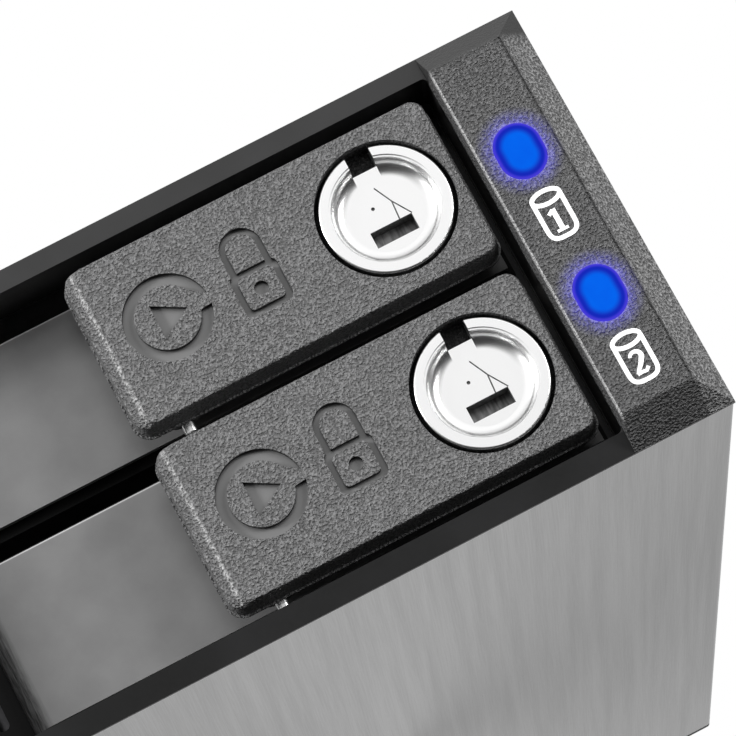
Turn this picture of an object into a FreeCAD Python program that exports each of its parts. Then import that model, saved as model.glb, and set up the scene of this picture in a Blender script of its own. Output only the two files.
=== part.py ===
"""Two-bay desktop network storage box: aluminium sleeve, moulded front frame with a raised indicator
strip, two lever-latched drive trays, drives, electronics and a ventilated rear panel.

The box lies flat. +Z is up, the front looks along -Y, and the origin is under the middle of the box.
All sizes are millimetres.
"""
import FreeCAD
import Part

import math
import os

Vector = FreeCAD.Vector

# ---- case --------------------------------------------------------------------------------------
weld = 0.5
case_width = 134.0
case_height = 73.5
case_depth = 252.0
sleeve_wall = 1.6
sleeve_corner = 0.8
panel_thickness = 2.0

# ---- front frame and indicator strip -----------------------------------------------------------
frame_border = 3.8
frame_rise = 1.0
frame_edge = 0.6
bay_corner = 1.0
skirt_depth = 10.0
skirt_gap = 0.15
strip_width = 17.15
strip_draft = 0.3
strip_rise = 5.2
strip_bevel = 4.8
strip_end_bevel = 5.2
strip_wall = 2.0
strip_edge_round = 0.25
strip_line_width = 0.35
strip_line_depth = 0.3
column_wall = 2.0
lens_width = 7.6
lens_height = 9.4
lens_crown = 0.3
lens_gap = 0.1
lens_flange = 0.5
lens_inset = 10.7
lens_pitch = 26.3
peg_radius = 1.5
led_board_thickness = 1.6
led_board_width = 8.8
led_board_height = 44.0
led_board_depth = 4.5
led_chip_height = 1.2
stake_radius = 1.1
stake_post_radius = 2.4
stake_head = 1.0
stake_spread = 4.0

# ---- sheet steel frame inside the sleeve -------------------------------------------------------
sheet = 1.0
sheet_gap = 0.3
side_gap = 0.5
divider_thickness = 1.2
divider_set_back = 14.0
tab_height = 8.0
tab_width = 10.0
tab_inset = 9.0
snap_width = 12.0
snap_length = 7.0
snap_thickness = 0.7
snap_barb = 0.8
snap_barb_length = 2.0
snap_barb_inset = 2.0
snap_gap = 0.1
snap_window_gap = 0.2
guide_wall = 1.5
guide_rib_height = 1.8
runner_height = 3.6
runner_gap = 0.35

# ---- trays -------------------------------------------------------------------------------------
lever_gap = 3.8
lever_margin = 2.6
tray_side_gap = 0.7
tray_front_extra = 1.1
tray_front_depth = 15.0
tray_front_wall = 1.8
tray_floor = 1.4
tray_wall = 1.6
tray_wall_height = 17.0
face_depth = 11.5
face_sheet = 1.2
face_fold = 3.3
face_inset = 11.2
face_short = 1.3
vent_slot = 2.0
vent_inset = 2.0
vent_pitch = 3.6
vent_count = 2
vent_height = 20.0
tray_travel = 140.0

# ---- latch levers ------------------------------------------------------------------------------
lever_length = 63.2
lever_end_gap = 2.75
lever_front = 2.3
lever_depth = 4.8
lever_skin = 2.2
lever_wall = 1.7
lever_corner = 2.4
lever_end_bevel = 1.7
lever_edge_bevel = 0.2
lever_bevel_depth = 1.2
lever_edge_round = 0.3
lever_draft = 0.25
lever_lip = 0.35
lever_lip_depth = 0.4
lever_hinge_inset = 7.5
lever_travel = 70.0
pin_radius = 1.15
pin_depth = 4.0
pin_clearance = 0.05
pin_below = 2.3
pin_above = 0.6
knuckle_radius = 2.6
knuckle_length = 2.2
lug_length = 3.4
lug_gap = 0.3
spring_radius = 2.3
spring_wire = 0.4
spring_coils = 9
spring_leg = 9.0

# ---- locks -------------------------------------------------------------------------------------
lock_inset = 12.9
lock_radius = 10.65
lock_gap = 0.7
lock_set_back = 0.1
lock_rim = 1.95
lock_dish = 2.4
lock_floor_depth = 2.6
lock_flange = 3.9
lock_axial_gap = 0.2
lock_shaft_radius = 5.6
lock_shaft_clearance = 0.05
lock_notch_width = 4.2
lock_notch_start = 7.8
key_slot_width = 7.3
key_slot_height = 2.8
key_slot_drop = 3.1
key_slot_offset = 0.2
key_slot_depth = 3.0
key_line = 0.22
cam_sheet = 1.4
cam_reach = 11.2
cam_width = 5.6
cam_hub = 4.6
cam_square = 5.0
keeper_sheet = 1.0
keeper_gap = 0.6

# ---- engraved signs ----------------------------------------------------------------------------
sign_depth = 1.0
sign_inset = 12.2
sign_rise = 0.35
ring_outer = 7.2
ring_inner = 5.3
play_back = 1.8
play_tip = 3.4
play_half = 3.0
padlock_offset = 15.05
padlock_drop = 2.65
padlock_width = 8.2
padlock_height = 7.7
padlock_corner = 1.3
padlock_line = 1.05
shackle_radius = 3.5
shackle_top = 8.0
keyhole_radius = 1.15

# ---- drives ------------------------------------------------------------------------------------
drive_width = 101.6
drive_height = 26.1
drive_length = 147.0
drive_side_gap = 0.3
drive_front_gap = 0.8
drive_lid = 0.9
drive_lid_inset = 1.6
drive_board = 1.6
drive_pocket_front = 96.0
drive_pocket_back = 8.0
drive_plug_width = 44.0
drive_plug_offset = -18.0
drive_screw_rise = 6.35
drive_screw_places = (28.5, 130.1)
drive_screw_length = 4.4

# ---- electronics and rear panel ----------------------------------------------------------------
socket_reach = 7.0
socket_overlap = 3.0
board_thickness = 1.6
board_side_gap = 2.4
fan_size = 50.0
fan_thickness = 15.0
fan_flange = 3.5
fan_bore = 23.5
fan_hole_pitch = 40.0
fan_tip_gap = 0.8
fan_hub = 11.0
fan_axle = 1.5
fan_blades = 7
fan_inset = 37.0
guard_wire = 0.8
guard_lift = 1.3
screw_radius = 1.5
screw_head = 2.8
screw_head_height = 1.3
side_head_height = 0.9
hole_gap = 0.15
control_inset = 43.0
jack_rise = 16.0
jack_radius = 5.4
rocker_width = 11.4
rocker_height = 17.0
rocker_tilt = 8.0
rocker_clearance = 0.35
reset_radius = 1.9
reset_reach = 0.9
reset_clearance = 0.1

# ---- planes worked out from the sizes above ----------------------------------------------------
rear_reach = 2 * guard_wire + guard_lift
half_width = case_width / 2
front_y = -case_depth / 2
edge_y = front_y + lens_crown + strip_rise
panel_back_y = case_depth / 2 - rear_reach
panel_front_y = panel_back_y - panel_thickness
sleeve_front_y = edge_y + frame_edge
mid_z = case_height / 2

bay_left = -half_width + frame_border
bay_right = half_width - strip_width - strip_draft
bay_mid = (bay_left + bay_right) / 2
bay_bottom = frame_border
bay_top = case_height - frame_border
lever_height = (bay_top - bay_bottom - 2 * lever_margin - lever_gap) / 2
tray_pitch = lever_height + lever_gap
tray_levels = {1: mid_z + tray_pitch / 2, 2: mid_z - tray_pitch / 2}

floor_low = sleeve_wall + sheet_gap
floor_top = floor_low + sheet
roof_top = case_height - sleeve_wall - sheet_gap
roof_low = roof_top - sheet
pan_left = -half_width + sleeve_wall + side_gap
pan_right = -pan_left
sheet_front_y = edge_y + skirt_depth + sheet_gap
guide_left = pan_left + sheet
guide_right = 2 * bay_mid - guide_left

strip_left = half_width - strip_width
plateau_right = half_width - strip_bevel
lens_x = half_width - lens_inset
lens_levels = (mid_z + lens_pitch / 2 + 0.35, mid_z - lens_pitch / 2 + 0.35)
stake_levels = (mid_z - stake_spread, mid_z + stake_spread)
peg_levels = (strip_end_bevel + 5.0, case_height - strip_end_bevel - 5.0)

lever_right = bay_right - lever_end_gap
lever_left = lever_right - lever_length
hinge_x = lever_left + lever_hinge_inset
hinge_y = edge_y + pin_depth
lever_face_y = edge_y - lever_front
lever_back_y = lever_face_y + lever_depth
lock_x = lever_right - lock_inset
sign_x = lever_left + sign_inset

tray_half = (drive_width / 2) + drive_side_gap + tray_wall
tray_front_y = edge_y + tray_front_depth
tray_inner_y = tray_front_y + tray_front_wall
drive_front_y = tray_inner_y + drive_front_gap
drive_back_y = drive_front_y + drive_length
backplane_y = drive_back_y - socket_overlap + socket_reach
board_x = pan_right - sheet - board_side_gap
fan_x = -half_width + fan_inset
control_x = half_width - control_inset
guide_back_y = drive_back_y - 4.0

os.makedirs("parts", exist_ok=True)


# ---- shapes ------------------------------------------------------------------------------------
def box(x0, x1, y0, y1, z0, z1):
    return Part.makeBox(x1 - x0, y1 - y0, z1 - z0, Vector(x0, y0, z0))


def rod_x(radius, y, z, x0, x1):
    return Part.makeCylinder(radius, x1 - x0, Vector(x0, y, z), Vector(1, 0, 0))


def rod_y(radius, x, z, y0, y1):
    return Part.makeCylinder(radius, y1 - y0, Vector(x, y0, z), Vector(0, 1, 0))


def rod_z(radius, x, y, z0, z1):
    return Part.makeCylinder(radius, z1 - z0, Vector(x, y, z0), Vector(0, 0, 1))


def outline(x0, x1, z0, z1, radius, y):
    """A closed rectangle in the plane of the front, with round corners."""
    r = radius
    s = r * math.sqrt(0.5)
    centres = ((x1 - r, z0 + r), (x1 - r, z1 - r), (x0 + r, z1 - r), (x0 + r, z0 + r))
    starts = ((x1 - r, z0), (x1, z1 - r), (x0 + r, z1), (x0, z0 + r))
    middles = ((s, -s), (s, s), (-s, s), (-s, -s))
    ends = ((x1, z0 + r), (x1 - r, z1), (x0, z1 - r), (x0 + r, z0))
    edges = []
    for corner in range(4):
        start = Vector(starts[corner][0], y, starts[corner][1])
        end = Vector(ends[corner][0], y, ends[corner][1])
        centre = centres[corner]
        bulge = middles[corner]
        middle = Vector(centre[0] + bulge[0], y, centre[1] + bulge[1])
        following = starts[(corner + 1) % 4]
        edges.append(Part.Arc(start, middle, end).toShape())
        edges.append(Part.LineSegment(end, Vector(following[0], y, following[1])).toShape())
    return Part.Wire(edges)


def slab(x0, x1, z0, z1, radius, y0, y1):
    """A plate parallel to the front, with round corners."""
    face = Part.Face(outline(x0, x1, z0, z1, radius, y0))
    return face.extrude(Vector(0, y1 - y0, 0))


def prism(points, y0, y1):
    """A plate parallel to the front, whose outline is a list of (x, z) corners."""
    corners = [Vector(x, y0, z) for x, z in points]
    face = Part.Face(Part.makePolygon(corners + corners[:1]))
    return face.extrude(Vector(0, y1 - y0, 0))


def rectangle(x0, x1, z0, z1, y):
    corners = [Vector(x0, y, z0), Vector(x1, y, z0), Vector(x1, y, z1), Vector(x0, y, z1)]
    return Part.makePolygon(corners + corners[:1])


def loft(wires):
    return Part.makeLoft(wires, True, True)


def oval(x, z, width, height, y0, y1):
    """A rod with an upright oval section: two half rounds joined by straight sides."""
    r = width / 2
    return slab(x - r, x + r, z - height / 2, z + height / 2, r - 0.001, y0, y1)


def joined(shapes):
    whole = shapes[0].fuse(shapes[1:])
    return whole.removeSplitter()


def less(shape, cutters):
    return shape.cut(cutters)


def save(name, shape):
    shape.exportStep("parts/" + name + ".step")


def cross_recess(x, z, y0, y1):
    arm = screw_head * 0.62
    half = screw_head * 0.13
    flat = box(x - arm, x + arm, y0, y1, z - half, z + half)
    tall = box(x - half, x + half, y0, y1, z - arm, z + arm)
    return flat.fuse(tall)


def rear_screw(x, z, seat_y, length):
    """A pan-head screw driven forwards from behind the rear panel."""
    head = rod_y(screw_head, x, z, seat_y, seat_y + screw_head_height)
    rim = [edge for edge in head.Edges if abs(edge.CenterOfMass.y - seat_y - screw_head_height) < 0.01]
    head = head.makeFillet(0.5, rim)
    shank = rod_y(screw_radius, x, z, seat_y - length, seat_y)
    recess = cross_recess(x, z, seat_y + screw_head_height - 0.7, seat_y + screw_head_height + 0.1)
    return less(joined([head, shank]), [recess])


def side_screw(side, y, z, seat_x, length):
    """A flat-head screw driven inwards through a tray wall; side is -1 on the left, +1 on the right."""
    head_x = sorted((seat_x, seat_x + side * side_head_height))
    shank_x = sorted((seat_x, seat_x - side * length))
    head = rod_x(screw_head, y, z, head_x[0], head_x[1])
    shank = rod_x(screw_radius, y, z, shank_x[0], shank_x[1])
    cut_x = sorted((seat_x + side * 0.4, seat_x + side * (side_head_height + 0.1)))
    arm = screw_head * 0.6
    half = screw_head * 0.13
    flat = box(cut_x[0], cut_x[1], y - arm, y + arm, z - half, z + half)
    tall = box(cut_x[0], cut_x[1], y - half, y + half, z - arm, z + arm)
    return less(joined([head, shank]), [flat, tall])


# ---- sleeve ------------------------------------------------------------------------------------
def make_outer_shell():
    outside = slab(-half_width, half_width, 0, case_height, sleeve_corner, sleeve_front_y, panel_front_y)
    inside = box(
        -half_width + sleeve_wall, half_width - sleeve_wall,
        sleeve_front_y - 1, panel_front_y + 1,
        sleeve_wall, case_height - sleeve_wall,
    )
    return less(outside, [inside])


# ---- front frame: sloping border, skirt inside the sleeve, closed column behind the strip -------
def snap_places():
    return (bay_left + 20.0, bay_right - 20.0)


def make_front_bezel():
    edge = box(-half_width, half_width, edge_y, sleeve_front_y, 0, case_height)
    slope = loft([
        rectangle(-half_width, half_width, 0, case_height, edge_y),
        rectangle(
            -half_width + frame_border, half_width - frame_border,
            frame_border, case_height - frame_border, edge_y - frame_rise,
        ),
    ])
    inner = sleeve_wall + skirt_gap
    skirt = box(
        -half_width + inner, half_width - inner,
        sleeve_front_y, edge_y + skirt_depth,
        inner, case_height - inner,
    )
    hollow = box(
        bay_right + column_wall, half_width - inner - column_wall,
        edge_y + column_wall, edge_y + skirt_depth + 1,
        inner + column_wall, case_height - inner - column_wall,
    )
    strip_seat = box(bay_right, half_width + 1, edge_y - frame_rise - 1, edge_y, -1, case_height + 1)
    bay = slab(
        bay_left, bay_right, bay_bottom, bay_top, bay_corner,
        edge_y - frame_rise - 1, edge_y + skirt_depth + 1,
    )
    cutters = [strip_seat, hollow, bay]
    around = lens_flange + lens_gap
    for level in lens_levels:
        cutters.append(oval(
            lens_x, level, lens_width + 2 * around, lens_height + 2 * around,
            edge_y - 1, edge_y + column_wall + 1,
        ))
    for level in peg_levels:
        cutters.append(rod_y(peg_radius + lens_gap, lens_x, level, edge_y - 1, edge_y + column_wall + 1))
    body = less(joined([edge, slope, skirt]), cutters)
    additions = [body] + make_snap_tongues(inner)
    board_y = edge_y + led_board_depth
    stake_y = board_y + led_board_thickness + stake_head
    for level in stake_levels:
        additions.append(rod_y(stake_post_radius, lens_x, level, edge_y + column_wall - weld, board_y))
        additions.append(rod_y(stake_radius, lens_x, level, board_y - weld, stake_y))
    return joined(additions)


def make_snap_tongues(inner):
    """Tongues that reach back from the skirt and hook into the base pan and the top plate."""
    root_y = edge_y + skirt_depth
    tip_y = root_y + snap_length
    low_face = floor_top + snap_gap
    high_face = roof_low - snap_gap
    tongues = []
    for x in snap_places():
        x0 = x - snap_width / 2
        x1 = x + snap_width / 2
        barb_x0 = x0 + snap_barb_inset
        barb_x1 = x1 - snap_barb_inset
        barb_y = tip_y - snap_barb_length
        tongues += [
            box(x0, x1, root_y - 1, tip_y, low_face, low_face + snap_thickness),
            box(x0, x1, root_y - 1, root_y, inner, low_face + snap_thickness),
            box(barb_x0, barb_x1, barb_y, tip_y, floor_top - snap_barb, low_face + snap_gap),
            box(x0, x1, root_y - 1, tip_y, high_face - snap_thickness, high_face),
            box(x0, x1, root_y - 1, root_y, high_face - snap_thickness, case_height - inner),
            box(barb_x0, barb_x1, barb_y, tip_y, high_face - snap_gap, roof_low + snap_barb),
        ]
    return tongues


# ---- indicator strip: textured cap with two lens windows ----------------------------------------
def make_indicator_strip():
    plateau_low = strip_end_bevel
    plateau_high = case_height - strip_end_bevel + 0.4
    body = loft([
        rectangle(bay_right, half_width, 0, case_height, edge_y),
        rectangle(strip_left, plateau_right, plateau_low, plateau_high, edge_y - strip_rise),
    ])
    left_edge = [
        edge for edge in body.Edges
        if abs(edge.BoundBox.XMax - strip_left) < 0.01 and edge.BoundBox.YMax < edge_y - strip_rise + 0.01
    ]
    body = body.makeFillet(strip_edge_round, left_edge)
    shadow_line = box(
        plateau_right - strip_line_width / 2, plateau_right + strip_line_width / 2,
        edge_y - strip_rise - 1, edge_y - strip_rise + strip_line_depth, plateau_low, plateau_high,
    )
    hollow = box(
        strip_left + strip_wall, plateau_right - 0.5,
        edge_y - strip_rise + strip_wall, edge_y + 1,
        plateau_low + strip_wall, plateau_high - strip_wall,
    )
    cutters = [hollow, shadow_line]
    for level in lens_levels:
        cutters.append(oval(
            lens_x, level, lens_width + 2 * lens_gap, lens_height + 2 * lens_gap,
            edge_y - strip_rise - 1, edge_y,
        ))
    additions = [less(body, cutters)]
    for level in peg_levels:
        additions.append(rod_y(
            peg_radius, lens_x, level, edge_y - strip_rise + strip_wall - weld, edge_y + column_wall,
        ))
    return joined(additions)


def make_led_lens(level):
    """Light pipe with a low crowned window, a flange behind the strip and a rod towards its diode."""
    face = edge_y - strip_rise
    window = oval(lens_x, level, lens_width, lens_height, face, face + strip_wall + 1)
    sections = []
    for share in (0.0, 0.35, 0.7, 0.9, 1.0):
        inset = lens_width / 2 * 0.85 * (1 - math.sqrt(1 - share ** 2))
        half_x = lens_width / 2 - inset
        half_z = lens_height / 2 - inset
        sections.append(outline(
            lens_x - half_x, lens_x + half_x, level - half_z, level + half_z, half_x - 0.001,
            face - lens_crown * share,
        ))
    window = window.fuse(loft(sections))
    flange_y = edge_y - strip_rise + strip_wall + lens_gap
    flange = oval(
        lens_x, level, lens_width + 2 * lens_flange, lens_height + 2 * lens_flange,
        flange_y, flange_y + 1.2,
    )
    pipe = oval(lens_x, level, lens_width, lens_height, flange_y, edge_y + column_wall)
    return joined([window, flange, pipe])


def make_led_board():
    y0 = edge_y + led_board_depth
    half_x = led_board_width / 2
    half_z = led_board_height / 2
    board = box(
        lens_x - half_x, lens_x + half_x, y0, y0 + led_board_thickness, mid_z - half_z, mid_z + half_z,
    )
    y1 = y0 + led_board_thickness
    holes = [rod_y(stake_radius + lens_gap, lens_x, level, y0 - 1, y1 + 1) for level in stake_levels]
    return less(board, holes)


def make_led_chips():
    y1 = edge_y + led_board_depth
    chips = []
    for level in lens_levels:
        chips.append(box(lens_x - 1.6, lens_x + 1.6, y1 - led_chip_height, y1, level - 1.4, level + 1.4))
    return Part.makeCompound(chips)


# ---- sheet steel frame --------------------------------------------------------------------------
panel_screw_x = (pan_left + tab_inset - 2.0, fan_x + fan_size / 2 + 12.0, pan_right - tab_inset + 2.0)


def tab_levels():
    return (floor_top + tab_height / 2 + 0.2, roof_low - tab_height / 2 - 0.2)


def make_snap_window(x, z0, z1):
    """Cutter for the slot that a front frame tongue hooks into."""
    half = snap_width / 2 - snap_barb_inset + snap_window_gap
    y1 = edge_y + skirt_depth + snap_length + snap_window_gap
    y0 = y1 - snap_barb_length - 2 * snap_window_gap
    return box(x - half, x + half, y0, y1, z0, z1)


def make_base_pan():
    back = panel_front_y
    floor = box(pan_left, pan_right, sheet_front_y, back, floor_low, floor_top)
    wall = box(pan_left, pan_left + sheet, sheet_front_y, back - sheet_gap, floor_low, roof_low - sheet_gap)
    lip = box(pan_right - sheet, pan_right, sheet_front_y, back - sheet_gap, floor_low, floor_top + 3.0)
    parts = [floor, wall, lip]
    level = tab_levels()[0]
    for x in panel_screw_x:
        parts.append(box(
            x - tab_width / 2, x + tab_width / 2, back - sheet, back, floor_low, floor_top + tab_height,
        ))
    body = joined(parts)
    cutters = [rod_y(screw_radius, x, level, back - 2, back + 1) for x in panel_screw_x]
    cutters += [make_snap_window(x, floor_low - 1, floor_top + 1) for x in snap_places()]
    return less(body, cutters)


def make_cage_wall():
    """Right wall of the drive bay: a plate with feet folded outwards along the floor."""
    back = backplane_y - 1.5
    wall = box(guide_right, guide_right + sheet, sheet_front_y, back, floor_top, roof_low)
    foot = box(guide_right, guide_right + 8.0, sheet_front_y + 5, back - 5, floor_top, floor_top + sheet)
    head = box(guide_right, guide_right + 8.0, sheet_front_y + 5, back - 5, roof_low - sheet, roof_low)
    body = joined([wall, foot, head])
    windows = []
    for place in (30.0, 70.0, 110.0):
        y = sheet_front_y + place
        windows.append(box(guide_right - 1, guide_right + 2, y - 12, y + 12, mid_z - 3.0, mid_z + 3.0))
    return less(body, windows)


def make_top_plate():
    back = panel_front_y
    roof = box(pan_left, pan_right, sheet_front_y, back, roof_low, roof_top)
    parts = [roof]
    level = tab_levels()[1]
    for x in panel_screw_x:
        parts.append(box(
            x - tab_width / 2, x + tab_width / 2, back - sheet, back, roof_low - tab_height, roof_top,
        ))
    body = joined(parts)
    cutters = [rod_y(screw_radius, x, level, back - 2, back + 1) for x in panel_screw_x]
    cutters += [make_snap_window(x, roof_low - 1, roof_top + 1) for x in snap_places()]
    return less(body, cutters)


def make_bay_divider():
    """Shelf between the two trays, slotted into the guides on both sides."""
    y0 = tray_inner_y + divider_set_back
    return box(
        guide_left + guide_wall, guide_right - guide_wall, y0, guide_back_y,
        mid_z - divider_thickness / 2, mid_z + divider_thickness / 2,
    )


def make_guide(side):
    """Moulded side guide with a groove for each tray's runner; side is -1 left, +1 right."""
    wall_x = guide_left if side < 0 else guide_right
    plate_x = sorted((wall_x, wall_x - side * guide_wall))
    rib_x = sorted((wall_x, bay_mid + side * (tray_half + runner_gap)))
    y0 = tray_front_y + tray_front_wall + 1.0
    low = floor_top + sheet + 0.1
    high = roof_low - sheet - 0.1
    parts = [box(plate_x[0], plate_x[1], y0, guide_back_y, low, high)]
    reach = runner_height / 2 + runner_gap
    for level in tray_levels.values():
        for start in (level - reach - guide_rib_height, level + reach):
            parts.append(box(rib_x[0], rib_x[1], y0, guide_back_y, start, start + guide_rib_height))
    return joined(parts)


# ---- one tray with everything that slides with it ------------------------------------------------
def lug_levels(level):
    """Heights of the two hinge lugs on the tray, just inside the lever's knuckles."""
    low = level - lever_height / 2 + knuckle_length + lug_gap
    high = level + lever_height / 2 - knuckle_length - lug_gap
    return ((low, low + lug_length), (high - lug_length, high))


def make_tray_carrier(level):
    half_front = (lever_height + tray_front_extra) / 2
    left = bay_left + tray_side_gap
    right = bay_right - tray_side_gap
    front = slab(left, right, level - half_front, level + half_front, 1.0, tray_front_y, tray_inner_y)
    vents = []
    for index in range(vent_count):
        x = left + vent_inset + index * vent_pitch
        vents.append(slab(
            x, x + vent_slot, level - vent_height / 2, level + vent_height / 2, vent_slot * 0.45,
            tray_front_y - 1, tray_inner_y + 1,
        ))
    front = less(front, vents)
    floor_z = level - half_front + 0.2
    back = drive_back_y - 8.0
    floor = box(bay_mid - tray_half, bay_mid + tray_half, tray_inner_y, back, floor_z, floor_z + tray_floor)
    windows = []
    for start in (18.0, 58.0, 98.0):
        y = drive_front_y + start
        windows.append(box(
            bay_mid - 34.0, bay_mid + 34.0, y, y + 26.0, floor_z - 1, floor_z + tray_floor + 1,
        ))
    parts = [front, less(floor, windows)]
    holes = []
    screw_z = floor_z + tray_floor + drive_screw_rise
    for side in (-1, 1):
        outer = bay_mid + side * tray_half
        wall_x = sorted((outer, outer - side * tray_wall))
        guide_face = (guide_left if side < 0 else guide_right) - side * guide_wall
        run_x = sorted((outer, guide_face - side * runner_gap))
        parts.append(box(wall_x[0], wall_x[1], tray_inner_y, back, floor_z, floor_z + tray_wall_height))
        parts.append(box(
            run_x[0], run_x[1], tray_inner_y + 2.5, back,
            level - runner_height / 2, level + runner_height / 2,
        ))
        for place in drive_screw_places:
            y = drive_front_y + place
            holes.append(rod_x(screw_radius + hole_gap, y, screw_z, wall_x[0] - 1, wall_x[1] + 1))
            sink_x = sorted((outer - side * side_head_height, outer + side * 1.0))
            holes.append(rod_x(screw_head + hole_gap, y, screw_z, sink_x[0], sink_x[1]))
    for low, high in lug_levels(level):
        parts.append(rod_z(knuckle_radius, hinge_x, hinge_y, low, high))
        parts.append(box(
            hinge_x - knuckle_radius, hinge_x + knuckle_radius, hinge_y, tray_front_y + weld, low, high,
        ))
        holes.append(rod_z(pin_radius, hinge_x, hinge_y, low - 1, high + 1))
    return less(joined(parts), holes)


def make_tray_face(level):
    """Satin plate over the tray front; its left end is folded back to the tray."""
    low = level - lever_height / 2 + face_short / 2
    high = level + lever_height / 2 - face_short / 2
    left = bay_left + face_inset
    right = lever_right + 1.0
    y0 = edge_y + face_depth
    y1 = y0 + face_sheet
    back = tray_front_y
    inner_fold = face_fold - face_sheet
    bend_x = left + face_fold
    bend_y = y0 + face_fold
    slant = math.sqrt(0.5)

    def at(x, y):
        return Vector(x, y, low)

    edges = [
        Part.LineSegment(at(left, back), at(left, bend_y)).toShape(),
        Part.Arc(
            at(left, bend_y), at(bend_x - face_fold * slant, bend_y - face_fold * slant), at(bend_x, y0),
        ).toShape(),
        Part.LineSegment(at(bend_x, y0), at(right, y0)).toShape(),
        Part.LineSegment(at(right, y0), at(right, y1)).toShape(),
        Part.LineSegment(at(right, y1), at(bend_x, y1)).toShape(),
        Part.Arc(
            at(bend_x, y1), at(bend_x - inner_fold * slant, bend_y - inner_fold * slant),
            at(left + face_sheet, bend_y),
        ).toShape(),
        Part.LineSegment(at(left + face_sheet, bend_y), at(left + face_sheet, back)).toShape(),
        Part.LineSegment(at(left + face_sheet, back), at(left, back)).toShape(),
    ]
    bend = Part.Face(Part.Wire(edges)).extrude(Vector(0, 0, high - low))
    pad = box(left + 8.0, right, y1, back, level - 4.0, level + 4.0)
    holes = []
    for lug_low, lug_high in lug_levels(level):
        holes.append(box(
            hinge_x - knuckle_radius - 0.2, hinge_x + knuckle_radius + 0.2, y0 - 1, back + 1,
            lug_low - 0.2, lug_high + 0.2,
        ))
    return less(joined([bend, pad]), holes)


def padlock_cutter(x, z, y0, y1):
    """Padlock outline: a body and a shackle drawn with one even line, and a round keyhole."""
    half = padlock_width / 2
    low = z - padlock_drop - padlock_height / 2
    high = low + padlock_height
    line = padlock_line
    body = slab(x - half, x + half, low, high, padlock_corner, y0, y1)
    body_core = slab(
        x - half + line, x + half - line, low + line, high - line, padlock_corner - line / 2, y0, y1,
    )
    crown_z = z + shackle_top - shackle_radius
    bow = rod_y(shackle_radius, x, crown_z, y0, y1)
    legs = box(x - shackle_radius, x + shackle_radius, y0, y1, high - line, crown_z)
    inner = shackle_radius - line
    bow_core = rod_y(inner, x, crown_z, y0, y1)
    legs_core = box(x - inner, x + inner, y0, y1, high, crown_z)
    outer = joined([body, bow, legs])
    groove = less(outer, [body_core, bow_core, legs_core])
    return Part.makeCompound([groove, rod_y(keyhole_radius, x, low + padlock_height * 0.5, y0, y1)])


def play_cutters(x, z, y0, y1):
    """A play triangle inside an open ring whose upper end runs out to a point."""
    ring = rod_y(ring_outer, x, z, y0, y1).cut(rod_y(ring_inner, x, z, y0, y1))
    gap = prism([
        (x + ring_inner - 0.6, z - 1.4), (x + ring_outer + 1.0, z - 1.0), (x + ring_outer + 1.0, z + 0.4),
        (x + ring_outer - 0.2, z + 0.7), (x + ring_inner - 0.4, z + 2.4),
    ], y0 - 0.1, y1 + 0.1)
    triangle = prism([
        (x - play_back, z - play_half), (x + play_tip, z), (x - play_back, z + play_half),
    ], y0, y1)
    return [ring.cut(gap), triangle]


def make_lever(level):
    """Thick textured latch lever, hollow behind, with hinge knuckles and a bearing for the lock."""
    low = level - lever_height / 2
    high = level + lever_height / 2
    shoulder_y = lever_face_y + lever_bevel_depth
    d = lever_draft
    side = loft([
        outline(lever_left - d, lever_right + d, low - d, high + d, lever_corner + d, lever_back_y),
        outline(lever_left, lever_right, low, high, lever_corner, shoulder_y),
    ])
    bevel = loft([
        outline(lever_left, lever_right, low, high, lever_corner, shoulder_y),
        outline(
            lever_left + lever_end_bevel, lever_right - lever_edge_bevel,
            low + lever_edge_bevel, high - lever_edge_bevel, lever_corner - lever_edge_bevel, lever_face_y,
        ),
    ])
    front_loop = [edge for edge in bevel.Edges if edge.BoundBox.YMax < lever_face_y + 0.01]
    bevel = bevel.makeFillet(lever_edge_round, front_loop)
    out = d + lever_lip
    lip = slab(
        lever_left - out, lever_right + out, low - out, high + out, lever_corner + out,
        lever_back_y, lever_back_y + lever_lip_depth,
    )
    inner_y = lever_face_y + lever_skin
    hollow = slab(
        lever_left + lever_wall, lever_right - lever_wall, low + lever_wall, high - lever_wall,
        lever_corner - 0.9, inner_y, lever_back_y + lever_lip_depth + 1,
    )
    shell = less(joined([side, bevel, lip]), [hollow])
    flange_back = lever_face_y + lock_set_back + lock_flange
    well_y = flange_back + lock_axial_gap
    well_back = well_y + 1.5
    bearing_back = well_back + 2.1
    well_radius = lock_radius + lock_gap + 1.3
    parts = [
        shell,
        rod_y(well_radius, lock_x, level, inner_y - 0.5, well_back),
        rod_y(lock_shaft_radius + 2.2, lock_x, level, well_back - 0.5, bearing_back),
    ]
    for start in (lever_left + 20.0, lever_left + 33.0):
        parts.append(box(start, start + 1.2, inner_y - 0.5, lever_back_y, low + 0.8, high - 0.8))
    for start in (low, high - knuckle_length):
        parts.append(rod_z(knuckle_radius, hinge_x, hinge_y, start, start + knuckle_length))
        parts.append(box(
            hinge_x - knuckle_radius, hinge_x + knuckle_radius, inner_y - 0.5, hinge_y,
            start, start + knuckle_length,
        ))
    body = joined(parts)
    engrave_y = lever_face_y + sign_depth
    cutters = [
        rod_y(lock_radius + lock_gap, lock_x, level, lever_face_y - 1, well_y),
        rod_y(lock_shaft_radius + lock_shaft_clearance, lock_x, level, well_y - 1, bearing_back + 1),
        rod_z(pin_radius + pin_clearance, hinge_x, hinge_y, low - 1, high + 1),
        padlock_cutter(sign_x + padlock_offset, level + sign_rise, lever_face_y - 1, engrave_y),
    ]
    cutters += play_cutters(sign_x, level + sign_rise, lever_face_y - 1, engrave_y)
    return less(body, cutters)


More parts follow.
